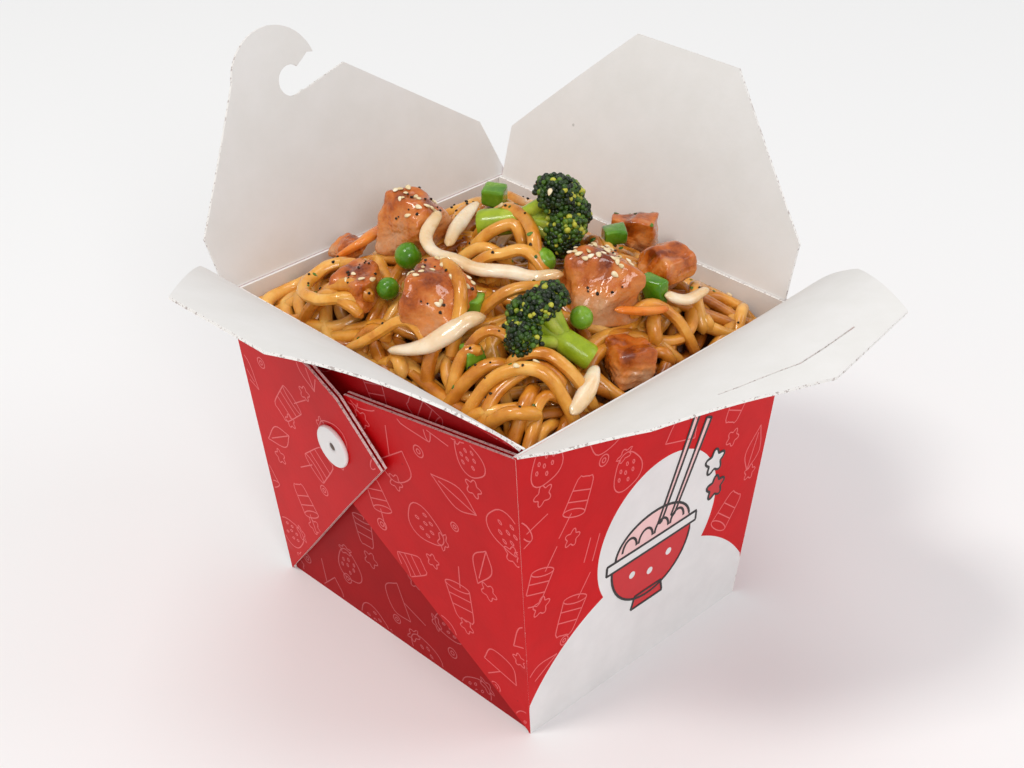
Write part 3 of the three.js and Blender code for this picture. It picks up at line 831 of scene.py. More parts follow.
# %% Print on walls, webs and flaps
for number, side in enumerate(("slit", "hook")):
    lay_ink(f"print_wall_{side}", pattern(10 + number, panel, white_fields), full_walls[side],
            "carton", "printed_board", pale_ink)
for number, side in enumerate(("front", "back")):
    under, over = web_faces[side]
    # The inner panel's drawings take the dimmer pink of painted shade.
    for kind, first_seed, outline, place, colour in (("panel", 50, inner_panel, inner_faces[side], shaded_pink_ink),
                                                     ("under_web", 20, under_web, under, pale_ink),
                                                     ("over_web", 30, over_web, over, pale_ink)):
        lay_ink(f"print_{kind}_{side}", pattern(first_seed + number, outline), place,
                "carton", "printed_board", colour)
for number, (name, (outline, _, place, _)) in enumerate(flap_specs.items()):
    lay_ink("print_" + name, pattern(40 + number, outline), place, name + "_body", "bare_board", pale_ink)

# %% [markdown]
# ## Picture on the wall
# The disc holds a plain bowl of noodles with two sticks and two stars: flat spots of ink with a black
# key line round each, as a simple spot-colour print has.


# %% Bowl picture
def spot_of_ink(name, outline, place, material, level):
    """A filled shape of ink. level stacks one spot over another, in hundredths of a millimetre."""
    board(name, outline, place, "carton", [material] * 3, "printed_board",
          thick=0.03, lift=THICK / 2 + 0.01 * level)


def arch(x, y, half, rise, count, end=0.0):
    """Points on half an oval from its left end to its right one: over the top, or under it with end 2 pi."""
    return [(x + half * math.cos(a), y + rise * math.sin(a)) for a in np.linspace(np.pi, end, count)]


def bowl_picture(side, place):
    """The picture in the pale disc of one wall."""
    cx, cy = SUN[0][0] - 2, SUN[0][1] - 6
    bowl = [(cx - 15, cy + 1), *arch(cx, cy + 1, 15, 15, 24, 2 * np.pi)[1:-1], (cx + 15, cy + 1)]
    foot = [(cx - 6, cy - 16.5), (cx + 6, cy - 16.5), (cx + 5, cy - 12.5), (cx - 5, cy - 12.5)]
    rim = [(cx - 17, cy + 1), (cx + 17, cy + 1), (cx + 17, cy + 4), (cx - 17, cy + 4)]
    mound = [(cx - 14, cy + 4), *arch(cx, cy + 4, 14, 9, 24)[1:-1], (cx + 14, cy + 4)]
    sticks = []
    for offset in (0.0, 5.0):
        low_end = np.array([cx + 2 + offset, cy + 8])
        tip = np.array([cx + 13 + offset, cy + 36 - 0.6 * offset])
        across = unit((tip - low_end)[None])[0][::-1] * [-1.1, 1.1]
        sticks.append([low_end - across * 0.6, low_end + across * 0.6, tip + across, tip - across])
    stars = [(ring(size, 40, lobes=5, depth=0.24) + [cx + right, cy + up])[:-1]
             for size, right, up in ((3.2, 22.5, 17), (3.0, 24, 8))]
    spots = [(sticks[0], blush_ink), (sticks[1], blush_ink), (mound, blush_ink), (foot, red_spot),
             (bowl, red_spot), (rim, white_print), (stars[0], white_print), (stars[1], red_spot)]
    lines = []
    for level, (outline, material) in enumerate(spots):
        spot_of_ink(f"picture_{side}_{level}", outline, place, material, level)
        loop = np.array([*outline, outline[0]])
        if len(loop) < 8:
            # Long straight sides are cut into short steps, so that the line bows with the wall.
            steps = [a + (b - a) * k / 8 for a, b in zip(loop, loop[1:]) for k in range(8)]
            loop = np.array([*steps, loop[0]])
        lines.append(loop)
    lines.extend(np.array(arch(cx - 9 + 6 * k, cy + 5.5, 2.6, 3.4, 14)) for k in range(4))
    for number in range(3):
        dot = ring(1.1, 12) + [cx - 7 + 7 * number, cy - 4 - 2.5 * (number % 2)]
        spot_of_ink(f"picture_{side}_dot_{number}", dot[:-1], place, white_print, 9)
    lay_ink(f"picture_{side}_lines", lines, place, "carton", "printed_board", black_ink, width=0.7, film=0.13)


for side in ("slit", "hook"):
    bowl_picture(side, full_walls[side])

# %% [markdown]
# ## Buttons
# A white plastic disc is riveted through the webs. It is turned from one profile: a soft edge, a
# slightly dished face and a hole with the rivet's dark head in it.


# %% Buttons
def plastic(name, colour, rough):
    """Moulded polypropylene: slightly waxy and satin, with faint sink marks."""
    values = {"Base Color": linear(colour), "Roughness": rough, "IOR": 1.49}
    material, tree, shader = new_material(name, values)
    at = add_node(tree, "ShaderNodeTexCoord").outputs["Object"]
    sink = add_node(tree, "ShaderNodeTexNoise", {"Vector": at, "Scale": 300.0, "Detail": 2.0})
    relief(tree, shader, sink.outputs["Fac"], 0.1, 0.0003)
    return material


button_plastic = plastic("moulded_white_polypropylene", "#efeeec", 0.35)
rivet_plastic = plastic("brown_rivet_head", "#5a4438", 0.4)


def lathe(profile, place_ring, sides=40):
    """Points and faces of a turned shape. profile holds radius and height; place_ring places them."""
    angle = 2 * np.pi * np.arange(sides) / sides
    rings = [place_ring(r * np.cos(angle), r * np.sin(angle), h) for r, h in profile]
    index = np.arange(len(profile) * sides).reshape(-1, sides)
    following = np.roll(index, -1, axis=1)
    quads = np.stack([index, following, np.roll(following, -1, axis=0), np.roll(index, -1, axis=0)], -1)
    return np.concatenate(rings), [quads.reshape(-1, 4)]


BUTTON_AT = (-12.8, 63.8)
DISC = [(1.1, 0), (5.7, 0), (5.95, 0.25), (6.0, 0.7), (5.8, 1.05), (5.3, 1.2),
        (4.6, 1.1), (2.4, 0.95), (1.5, 1.0), (1.2, 0.8), (1.1, 0.5)]
RIVET = [(0.01, 0), (1.05, 0), (1.05, 0.7), (0.7, 0.85), (0.01, 0.9)]
for side in ("front", "back"):
    over = web_faces[side][1]

    def on_web(x, y, h):
        where, normal = over(x + BUTTON_AT[0], y + BUTTON_AT[1])
        return where + normal * (THICK / 2 + 0.05 + h)

    disc = Heap()
    disc.add(*lathe(DISC, on_web))
    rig.replaces(disc.build(f"button_{side}_disc", [button_plastic], "carton", "button"), f"button_{side}")
    rivet = Heap()
    rivet.add(*lathe(RIVET, on_web, 20))
    rivet.build(f"button_{side}_rivet", [rivet_plastic], "carton", "button")

print("board pieces done")

# %% [markdown]
# ## The heap
# Noodles settle one over another, each bridging the ones below. A physics run of so many soft strands
# would be slow and would not come out the same twice, so they are laid as a cook would drop them:
# each strand wanders over the heap on a smooth random path, rests on the highest thing under it, and
# adds its own height to a map for the next. Where the map is lowest the next strand starts.

# %% Heap form
HEAP_EDGE, HEAP_RISE, HEAP_POWER, PEAK_X, PEAK_Y, TILT = 84.0, 21.0, 3.5, 8.0, 2.0, 0.04
MOUTH_X, MOUTH_Y = RIM_X / 2 - INSET_RIM, RIM_Y / 2  # half the mouth, inside the board


def dome(x, y):
    """The smooth top of the heap, as in the frame: flat topped and falling away to the walls."""
    span_x = np.where(x > PEAK_X, MOUTH_X - PEAK_X, MOUTH_X + PEAK_X)
    span_y = np.where(y > PEAK_Y, MOUTH_Y - PEAK_Y, MOUTH_Y + PEAK_Y)
    fall_x = np.clip(1 - np.abs((x - PEAK_X) / span_x) ** HEAP_POWER, 0, 1)
    fall_y = np.clip(1 - np.abs((y - PEAK_Y) / span_y) ** HEAP_POWER, 0, 1)
    return HEAP_EDGE + TILT * (x + y) + HEAP_RISE * fall_x * fall_y


# The box was filled from the front: the food stops lower along the two far walls and in their corner.
FAR_EDGE, FAR_SLOPE, CORNER_DROP, UNDER_TOP = 80.5, 0.8, 5.0, 1.6


def far_level(x, y):
    """The level that the two far walls allow."""
    far_gap = np.minimum(MOUTH_X - x, MOUTH_Y - y)
    return FAR_EDGE + FAR_SLOPE * far_gap - CORNER_DROP * np.clip((x + y - 58) / 26, 0, 1)


def fill_level(x, y):
    """The level that the noodles reach."""
    return np.minimum(dome(x, y), far_level(x, y) + UNDER_TOP)


def on_heap(points):
    """Points given as x, y and lift above the heap's smooth top."""
    points = np.asarray(points, float)
    return np.stack([points[:, 0], points[:, 1], dome(points[:, 0], points[:, 1]) + points[:, 2]], 1)


# The strips that lie on the heap: x, y and lift above it along each, and its width.
STRIPS = {
    "sprout_1": ([(-10, 15, 9), (-19, 10, 8), (-19, 0, 4.5), (-12, -12, 4.5), (-5, -23, 2.5)], 4.4),
    "sprout_2": ([(-42, -1, 2), (-38, -10, 2), (-31, -15, 2.2), (-25, -17, 2.4)], 5.4),
    "sprout_3": ([(-13, 9, 3), (-6, 13, 3.5), (6, 18, 3)], 3.8),
    "sprout_4": ([(-28, -48, 2.5), (-20, -46, 2.7), (-14, -42, 2.7)], 4.3),
    "sprout_5": ([(14, -39, 2.4), (20, -41, 2.5), (28, -41, 2)], 4.4),
    "carrot_1": ([(-2, -37, 3.4), (4, -40, 3.4), (12, -42, 3)], 3.4),
    "carrot_2": ([(-26, 37, 1.4), (-20, 33, 2.6), (-10, 36, 1.6)], 3.6),
    "carrot_3": ([(24, 6, 1.5), (30, 12, 1.8), (31, 22, 1.5)], 3.4),
}
TOPPING_KINDS = ("chicken", "broccoli", "sprout", "carrot", "pea", "bean")
print("heap top", round(float(dome(PEAK_X, PEAK_Y)), 1), "mm; CAD", round(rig.box("noodle_heap")[1].z / MM, 1))


# %% Food finish
def food(name, stops, scale, rough, coat, bump, scatter=0.0, depth=0.002, spread=0.35,
         radius=(1.0, 0.45, 0.2), stain=None):
    """Cooked food under a thin glaze. stops are its colours from dark to light; each piece shifts
    along them by its own tone, as far as spread allows. scale is the mottling's, per metre. scatter
    is how much light goes in, depth how far, in metres."""
    material, tree, shader = new_material(name, {
        "IOR": 1.45, "Specular IOR Level": 0.3,
        "Coat Weight": coat, "Coat Roughness": 0.07, "Coat IOR": 1.4,
        "Subsurface Weight": scatter, "Subsurface Scale": depth, "Subsurface Radius": radius,
    })
    at = add_node(tree, "ShaderNodeTexCoord").outputs["Object"]
    inputs = {"Vector": at, "Scale": scale, "Detail": 5.0, "Roughness": 0.6}
    mottle = add_node(tree, "ShaderNodeTexNoise", inputs).outputs["Fac"]
    tone = add_node(tree, "ShaderNodeAttribute", attribute_name="tone")
    shift = add_node(tree, "ShaderNodeMath", {0: tone.outputs["Fac"], 1: 0.5}, operation="SUBTRACT")
    inputs = {0: shift.outputs[0], 1: spread, 2: mottle}
    amount = add_node(tree, "ShaderNodeMath", inputs, operation="MULTIPLY_ADD")
    colour = shades(tree, amount.outputs[0], stops)
    if stain:
        # Painted shade: points that lie low in the heap are darkened towards this colour by their deep attribute,
        # where shade falls.
        deep = add_node(tree, "ShaderNodeAttribute", attribute_name="deep")
        colour = add_node(tree, "ShaderNodeMix", {0: deep.outputs["Fac"], 6: colour, 7: linear(stain)},
                          data_type="RGBA", blend_type="MULTIPLY").outputs[2]
    tree.links.new(colour, shader.inputs["Base Color"])
    inputs = {"Vector": at, "Scale": scale * 3.5, "Detail": 4.0, "Roughness": 0.6}
    fine = add_node(tree, "ShaderNodeTexNoise", inputs)
    relief(tree, shader, fine.outputs["Fac"], bump, 0.0006)
    wet = add_node(tree, "ShaderNodeMapRange", {
        "Value": mottle, "From Min": 0.3, "From Max": 0.7, "To Min": rough - 0.08, "To Max": rough + 0.12,
    })
    tree.links.new(wet.outputs["Result"], shader.inputs["Roughness"])
    return material


# Noodles: a clear brown glaze over golden dough, with a sharp highlight along each strand, and painted shade that
# darkens the strands lying low in the heap.
noodle_finish = food(
    "soy_glazed_wheat_noodle",
    [(0.2, "#8c440c"), (0.42, "#c2761e"), (0.6, "#dc9838"), (0.85, "#f0bc66")],
    120.0, 0.3, 0.85, 0.2, scatter=0.15, stain="#8a5022",
)
# What shows deep between the strands: sauce and shade, with hardly any gloss.
core_finish = food(
    "noodles_in_shadow",
    [(0.3, "#4a2409"), (0.6, "#7a4216"), (0.85, "#8f5520")],
    160.0, 0.5, 0.2, 0.6,
)

# %% Heap core
CORE_SINK, CORE_GAP, CORE_FOOT = 9.0, 2.6, 3.0  # below the noodles' level, to the walls, and above the base
FOOT_SHRINK = 0.86  # the box narrows towards its base
cells_x, cells_y = 46, 50
u, v = np.meshgrid(np.linspace(-1, 1, cells_x), np.linspace(-1, 1, cells_y))
core_x, core_y = u * (MOUTH_X - CORE_GAP), v * (MOUTH_Y - CORE_GAP)
lumps = 0.8 * np.sin(core_x * 0.9 + 2 * np.sin(core_y * 0.3)) * np.sin(core_y * 0.8)
core_z = fill_level(core_x, core_y) - CORE_SINK + lumps
core_top = np.stack([core_x, core_y, core_z], -1).reshape(-1, 3)
core_foot = core_top * [FOOT_SHRINK, FOOT_SHRINK, 0] + [0, 0, CORE_FOOT]
index = np.arange(cells_x * cells_y).reshape(cells_y, cells_x)
top_faces = np.stack([index[:-1, :-1], index[:-1, 1:], index[1:, 1:], index[1:, :-1]], -1).reshape(-1, 4)
rim_walk = np.concatenate([index[0, :-1], index[:-1, -1], index[-1, :0:-1], index[:0:-1, 0]])
ahead_walk = np.roll(rim_walk, -1)
side_faces = np.stack([ahead_walk, rim_walk, rim_walk + index.size, ahead_walk + index.size], 1)
foot_faces = top_faces[:, ::-1] + index.size
core = Heap()
core_points = np.concatenate([core_top, core_foot])
core.add(core_points, [np.concatenate([top_faces, foot_faces, side_faces])], tone=0.5)
core.build("noodle_core", [core_finish], "carton", "noodle")

# %% Height map
NOODLE_RADIUS = 1.68
STEP = 1.2  # along a strand
CELL = 0.8  # of the map
toppings = [name for name in frame["nodes"] if name.split("_")[0] in TOPPING_KINDS]
boxes = {name: np.array([list(corner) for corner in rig.box(name)]) / MM for name in toppings}
bulky = [name for name in toppings if name.split("_")[0] in ("chicken", "broccoli", "pea", "bean")]
# Where each larger topping stands, and its radius in plan.
spans = {name: np.ptp(boxes[name], axis=0)[:2].mean() for name in bulky}
blocks = np.array([[*boxes[name].mean(0)[:2], 0.46 * spans[name]] for name in bulky])

limit_x, limit_y = MOUTH_X - 3.2, MOUTH_Y - 3.2
map_x = np.arange(-MOUTH_X, MOUTH_X + CELL, CELL)
map_y = np.arange(-MOUTH_Y, MOUTH_Y + CELL, CELL)
grid_x, grid_y = np.meshgrid(map_x, map_y, indexing="ij")
smooth_top = dome(grid_x, grid_y)
filled = fill_level(grid_x, grid_y)
height = filled - CORE_SINK
reach = int(NOODLE_RADIUS / CELL) + 1
stamp = [(i, j, math.sqrt(NOODLE_RADIUS ** 2 - (i * i + j * j) * CELL ** 2))
         for i in range(-reach, reach + 1) for j in range(-reach, reach + 1)
         if (i * i + j * j) * CELL ** 2 < NOODLE_RADIUS ** 2]

# Loose strands keep below this level, lower still under the strips and the larger toppings.
UNDER_BLOCK, UNDER_STRIP = 4.5, 3.4
ceiling = filled - UNDER_TOP
for x, y, radius in blocks:
    ceiling = np.where(np.hypot(grid_x - x, grid_y - y) < 0.8 * radius, filled - UNDER_BLOCK, ceiling)
for route, _ in STRIPS.values():
    for x, y, lift in smooth_curve(route, 2.0):
        near = np.hypot(grid_x - x, grid_y - y) < 3.4
        ceiling = np.where(near, np.minimum(ceiling, smooth_top + lift - UNDER_STRIP), ceiling)


# %% Laying strands
def cells_under(path):
    """Map cells below the points of a path."""
    i = np.clip(((path[:, 0] + MOUTH_X) / CELL).round().astype(int), reach, len(map_x) - reach - 1)
    j = np.clip(((path[:, 1] + MOUTH_Y) / CELL).round().astype(int), reach, len(map_y) - reach - 1)
    return i, j


LOOK_AHEAD, BLOCK_MARGIN, STEER, MOST_STEER = 9.0, 1.5, 0.06, 0.13  # how soon and how hard it turns


def wander(rng, start, length):
    """A smooth random path in plan that turns away from the walls and the larger toppings."""
    heading, bend = rng.uniform(0, 2 * np.pi), rng.normal(0, 0.04)
    halves = []
    for way in (1, -1):
        spot, angle, curve = np.array(start, float), heading + (0 if way == 1 else np.pi), bend * way
        points = [spot.copy()]
        for _ in range(int(length / 2 / STEP)):
            curve += rng.normal(0, 0.009) - 0.05 * (curve - bend * way)
            ahead = np.array([math.cos(angle), math.sin(angle)])
            look = spot + ahead * LOOK_AHEAD
            push = np.array([-max(0, abs(look[0]) - limit_x) * np.sign(look[0]),
                             -max(0, abs(look[1]) - limit_y) * np.sign(look[1])])
            away = look - blocks[:, :2]
            near = np.linalg.norm(away, axis=1)
            close = np.clip(blocks[:, 2] + BLOCK_MARGIN - near, 0, None)
            push += 0.6 * (away / near[:, None] * close[:, None]).sum(0)
            side = ahead[0] * push[1] - ahead[1] * push[0]
            angle += (curve + np.clip(side * STEER, -MOST_STEER, MOST_STEER)) * STEP
            spot = spot + STEP * np.array([math.cos(angle), math.sin(angle)])
            spot = np.clip(spot, [-limit_x, -limit_y], [limit_x, limit_y])
            points.append(spot.copy())
        halves.append(np.array(points))
    return np.concatenate([halves[1][:0:-1], halves[0]])


def rolling_mean(values, width):
    """Values averaged over a window, with the ends held."""
    padded = np.pad(values, width // 2, mode="edge")
    return np.convolve(padded, np.ones(width) / width, mode="valid")


def eased(path):
    """A path in plan with its small kinks averaged out."""
    return np.column_stack([rolling_mean(path[:, 0], 5), rolling_mean(path[:, 1], 5)])


MOST_BRIDGE, OVERFILL = 3.0, 0.4  # gap that a strand may span, and how far it may pass its cap


def settle(path, cap):
    """Heights at which a strand rests on the map. It bridges hollows that it is too stiff to follow,
    and where the heap is full it presses into the strands below."""
    i, j = cells_under(path)
    under = np.max([height[i + a, j + b] + 0.8 * c for a, b, c in stamp], axis=0)
    z = under.copy()
    for _ in range(40):
        z[1:-1] = np.maximum(under[1:-1], 0.5 * (z[:-2] + z[2:]))
    z = np.minimum(z, under + MOST_BRIDGE)
    too_high = np.clip(z - cap[i, j], 0, None)
    return rolling_mean(np.minimum(z, cap[i, j] + OVERFILL), 9), too_high


DIVE_RUN, WALL_GAP = 10.0, THICK + 1.3 * NOODLE_RADIUS


def lay(heap, path, z, rng, tone, dive=4.0):
    """Adds one strand to a heap and raises the map by it. dive sinks its ends into the food."""
    along = np.arange(len(path)) * STEP
    ends = np.minimum(along, along[-1] - along)
    z = z - dive * np.clip(1 - ends / DIVE_RUN, 0, 1) ** 2
    hold_x = np.interp(z, [0, HEIGHT], [BASE_X / 2 - INSET_BASE, MOUTH_X]) - WALL_GAP
    hold_y = np.interp(z, [0, HEIGHT], [BASE_Y / 2, MOUTH_Y]) - WALL_GAP
    path = np.column_stack([np.clip(path[:, 0], -hold_x, hold_x), np.clip(path[:, 1], -hold_y, hold_y)])
    i, j = cells_under(path)
    for a, b, c in stamp:
        np.maximum.at(height, (i + a, j + b), z + c)
    line = smooth_curve(np.column_stack([path, z])[::2], 1.2)
    thick = NOODLE_RADIUS * rng.uniform(0.92, 1.1)
    swell = 1 + 0.04 * np.sin(np.arange(len(line)) * 0.3 + rng.uniform(0, 6))
    points, faces = tube(line, rounded_ends(line, thick) * swell, sides=10, flat=rng.uniform(0.85, 1.0))
    # How far each point lies below the heap's level: this sets the painted shade of the noodle finish.
    depth = np.clip((fill_level(points[:, 0], points[:, 1]) + 1.0 - points[:, 2]) / 8.0, 0, 1)
    heap.add(points, faces, tone=tone, deep=depth)


rng = np.random.default_rng(11)
loose = Heap()
LOOSE_STRANDS, TRIALS = 104, 10
for _ in range(LOOSE_STRANDS):
    best, best_cost = None, None
    for _ in range(TRIALS):
        spots = rng.uniform([-limit_x, -limit_y], [limit_x, limit_y], (30, 2))
        i, j = cells_under(spots)
        start = spots[np.argmax(ceiling[i, j] - height[i, j])]
        path = eased(wander(rng, start, rng.uniform(45, 110)))
        z, too_high = settle(path, ceiling)
        i, j = cells_under(path)
        room = np.clip(ceiling[i, j] - height[i, j], 0, 5)
        cost = 2.0 * too_high.mean() - room.mean() - 0.004 * len(path)
        if best_cost is None or cost < best_cost:
            best, best_cost = (path, z), cost
    lay(loose, *best, rng, rng.uniform(0, 1))
loose.build("noodle_strands_below", [noodle_finish], "carton", "noodle")
print("mean gap between strands and smooth top", round(float((smooth_top - height).mean()), 2), "mm")

# %% [markdown]
# The strands that lie on top of everything carry the look of the heap: wide loops against the walls
# and long easy arcs across the open corner. They are laid last, along chosen routes, and drape over
# the chunks that they cross.

# %% Strands on top
for name in bulky:
    low, high = boxes[name]
    centre, half = (low + high) / 2, (high - low) / 2 * 0.92
    inner = 1 - ((grid_x - centre[0]) / half[0]) ** 2 - ((grid_y - centre[1]) / half[1]) ** 2
    bulge = centre[2] + half[2] * np.sqrt(np.clip(inner, 0, 1))
    height = np.where(inner > 0, np.maximum(height, bulge), height)

top_routes = [
    # the front corner
    [(-45, -47), (-41, -46), (-36, -44), (-32, -41), (-29, -36)],
    [(-44, -21), (-41, -21), (-38, -24), (-34, -27), (-29, -31)],
    [(-31, -29), (-27, -36), (-24, -41), (-20, -45), (-18, -49)],
    [(-42, -24), (-43, -28), (-41, -33), (-36, -38), (-31, -40), (-27, -41)],
    [(-37, -17), (-34, -19), (-31, -23), (-28, -27), (-27, -32)],
    [(-41, -13), (-38, -11), (-35, -11), (-33, -13)],
    [(-43, -42), (-38, -41), (-32, -39), (-28, -37)],
    [(-41, -21), (-37, -20), (-34, -22), (-31, -24)],
    [(-38, -44), (-34, -42), (-29, -42), (-24, -44)],
    [(-41, -33), (-41, -39), (-37, -43), (-32, -43)],
    [(-45, -34), (-40, -33), (-34, -34), (-28, -38), (-24, -44)],
    [(-45, -28), (-39, -30), (-33, -35), (-28, -42), (-25, -49)],
    # the right side
    [(3, -37), (11, -39), (16, -44), (19, -48)],
    [(4, -41), (7, -44), (10, -48)],
    [(22, -39), (25, -42), (26, -47)],
    [(12, -39), (7, -41), (7, -45)],
    [(23, -45), (26, -39), (32, -34), (39, -32), (43, -35), (43, -41), (37, -45), (30, -49)],
    [(29, -35), (36, -37), (42, -42), (43, -49)],
    [(36, -6), (41, -14), (43, -24), (43, -33), (40, -40)],
    [(38, 28), (39, 15), (37, 3), (33, -7), (28, -17), (22, -25)],
    [(18, -8), (16, -14), (13, -20)],
    # the left side
    [(-36, 31), (-33, 37), (-29, 37), (-28, 29), (-27, 19)],
    [(-38, 33), (-39, 26), (-37, 18), (-34, 11)],
    [(-42, 33), (-41, 25), (-40, 17), (-37, 13)],
    [(-43, 12), (-41, 12), (-39, 9), (-38, 2)],
    [(-40, 1), (-41, -4), (-43, -8)],
    [(-44, 40), (-43, 46), (-37, 48), (-31, 46), (-28, 38), (-27, 30)],
    [(-23, 27), (-29, 33), (-35, 35), (-41, 32), (-43, 25), (-40, 18), (-34, 15)],
    [(-45, 17), (-45, 10), (-42, 4), (-37, -3), (-36, -9)],
    # the middle and the far side
    [(-20, 8), (-22, 3), (-24, -5), (-28, -12), (-35, -15)],
    [(-8, 10), (-7, 3), (-1, -2), (-3, -9)],
    [(-14, 8), (-9, 2), (-7, -6), (-11, -13)],
    [(-3, 12), (2, 6), (2, -2), (-2, -10), (-8, -17)],
    [(-18, 3), (-12, -4), (-6, -12), (-4, -20)],
    [(-24, -12), (-18, -18), (-11, -22), (-4, -25)],
    [(-8, 13), (1, 19), (8, 21), (9, 17)],
    [(20, 34), (25, 27), (22, 15), (14, 6)],
    [(28, 36), (33, 30), (34, 20), (29, 8)],
    [(10, 44), (20, 42), (30, 40), (38, 34), (41, 24)],
    [(-6, 34), (4, 38), (14, 36), (24, 38), (32, 44)],
    [(26, 46), (34, 40), (40, 32), (42, 40)],
]
rng = np.random.default_rng(12)
TOP_ROOM, FAR_ROOM = 9.0, 3.0  # how far the top strands may rise over the toppings and at the back
TOP_CAP = np.minimum(smooth_top + TOP_ROOM, far_level(grid_x, grid_y) + FAR_ROOM)
TWIN_GAP, TWIN_RISE = 3.9, 3.0  # to the neighbour, and how far above the dome it may ride
top = Heap()
for twin in (1, 0):
    for route in top_routes:
        path = eased(smooth_curve([(x, y, 0.0) for x, y in route], STEP)[:, :2])
        if twin:
            # Noodles lie in bundles: most have a neighbour that follows them for a while.
            ahead = unit(np.gradient(path, axis=0))
            side = rng.choice([-1, 1])
            way = side * (TWIN_GAP + 1.5 * np.sin(np.arange(len(path)) * 0.12 + rng.uniform(0, 6)))
            path = path + np.stack([-ahead[:, 1], ahead[:, 0]], 1) * way[:, None]
            path = np.clip(path, [-limit_x - 1, -limit_y - 1], [limit_x + 1, limit_y + 1])
        z, _ = settle(path, TOP_CAP)
        if twin and (z - dome(path[:, 0], path[:, 1])).max() > TWIN_RISE:
            continue
        lay(top, path, z, rng, rng.uniform(0.35, 1), dive=7.0)
noodles = top.build("noodle_strands", [noodle_finish], "carton", "noodle")
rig.replaces(noodles, "noodle_heap")

# %% [markdown]
# ## Rounded chunks
# Diced chicken has flat knife cuts, torn corners and a browned, glazed skin. Each chunk is a rounded
# block of cutting planes worked out in closed form: along every direction from its centre the surface
# lies where the nearest plane does, with the corners softened. Fine noise then frays the surface into
# muscle fibre, and the frame's box sets the size.


# %% Chunks
def sphere_net(level):
    """Directions and faces of a subdivided icosahedron."""
    mesh = bpy.data.meshes.new("net")
    work = bmesh.new()
    bmesh.ops.create_icosphere(work, subdivisions=level, radius=1.0)
    work.to_mesh(mesh)
    work.free()
    points = np.array([v.co for v in mesh.vertices])
    faces = np.array([p.vertices for p in mesh.polygons])
    bpy.data.meshes.remove(mesh)
    return points, faces


def waves(points, rng, pitch, octaves=3):
    """Cheap solid noise: crossed sine waves in random directions, pitch in the points' own unit."""
    total = np.zeros(len(points))
    for octave in range(octaves):
        for _ in range(4):
            direction = unit(rng.normal(size=(1, 3)))[0] * 2 * np.pi / (pitch / 2 ** octave)
            total += np.sin(points @ direction + rng.uniform(0, 6.3)) / 2 ** octave
    return total / 7


FINE_NET = sphere_net(6)
MIDDLE_NET = sphere_net(4)
TINY_NET = sphere_net(2)


def cut_block(net, rng, planes, softness, least=0.75):
    """Radius along each direction of a block cut by planes, its corners softened. least is how deep the
    knife may go."""
    cuts = unit(rng.normal(size=(planes, 3)))
    normals = np.concatenate([np.eye(3), -np.eye(3), cuts])
    depth = np.concatenate([rng.uniform(0.8, 0.95, 6), rng.uniform(least, 1.0, planes)])
    facing = np.clip(net[0] @ normals.T, 0, None) / depth
    return (facing ** softness).sum(1) ** (-1 / softness)


def fit_to(points, node, turn=0.0, grow=1.0):
    """The points turned about the vertical, then moved and scaled to fill a frame node's box."""
    sine, cosine = math.sin(math.radians(turn)), math.cos(math.radians(turn))
    points = points @ np.array([[cosine, sine, 0], [-sine, cosine, 0], [0, 0, 1]])
    low, high = (np.array(corner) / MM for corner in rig.box(node))
    own_low, own_high = points.min(0), points.max(0)
    scale = (high - low) / (own_high - own_low) * grow
    return (points - (own_low + own_high) / 2) * scale + (low + high) / 2


# Chicken: browned and glazed on top, paler and more matt where the knife cut it.
chicken_finish = food(
    "glazed_browned_chicken",
    [(0.15, "#742c06"), (0.33, "#b75a12"), (0.52, "#cf7c36"), (0.72, "#c68858"), (0.92, "#d2a47e")],
    170.0, 0.28, 0.9, 0.6, scatter=0.12, spread=0.55,
)
CHUNK_TURNS = {1: 20, 2: 45, 3: 10, 4: -20, 5: 0, 6: 30, 7: 60, 8: 0}  # as in the frame
chunks = {}
for number, turn in CHUNK_TURNS.items():
    rng = np.random.default_rng(100 + number)
    node = f"chicken_{number}"
    radius = cut_block(FINE_NET, rng, 9, 16.0, least=0.66)
    points = fit_to(FINE_NET[0] * radius[:, None], node, turn, grow=0.97)
    size = np.ptp(points, axis=0).mean()
    middle = (points.min(0) + points.max(0)) / 2
    out = unit(points - middle)
    fibre = points * [0.3, 1.0, 1.0]
    folds = 0.09 * size * waves(points, rng, size * 0.55, 2)
    torn = 0.3 * waves(fibre, rng, 1.7, 3) * np.clip(1.1 - out[:, 2], 0.3, 1.2)
    points = points + out * (folds + torn - 0.4)[:, None]
    pale = np.clip(0.6 - 0.6 * out[:, 2] + 0.28 * waves(points, rng, size * 0.45, 3), 0, 1)
    piece = Heap()
    piece.add(points, [FINE_NET[1]], tone=pale)
    chunks[node] = piece.build(node + "_meat", [chicken_finish], "carton", "chicken", smooth=60)
    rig.replaces(chunks[node], node)

# %% [markdown]
# ## Broccoli
# A floret is a tree: a stalk divides into branches, each ending in a dome of tight flower buds. The
# buds are what the eye knows it by, so each is a tiny sphere of its own, 1.0 to 1.7 mm across, set in
# a spiral over its dome.

# %% Broccoli
GOLDEN_ANGLE = math.pi * (3 - math.sqrt(5))
# Stalk: pale green and a little translucent.
stalk_finish = food(
    "blanched_broccoli_stalk",
    [(0.25, "#70860c"), (0.5, "#9fb226"), (0.75, "#cccb66")],
    110.0, 0.35, 0.35, 0.35, scatter=0.2, radius=(0.9, 1.0, 0.3),
)
# Buds: each its own green, nearly black in the gaps and here and there about to flower yellow.
bud_finish = food(
    "broccoli_flower_bud",
    [(0.1, "#101d06"), (0.4, "#26400f"), (0.7, "#4c6f1b"), (0.95, "#b9b53c")],
    260.0, 0.36, 0.35, 0.3, spread=1.0,
)


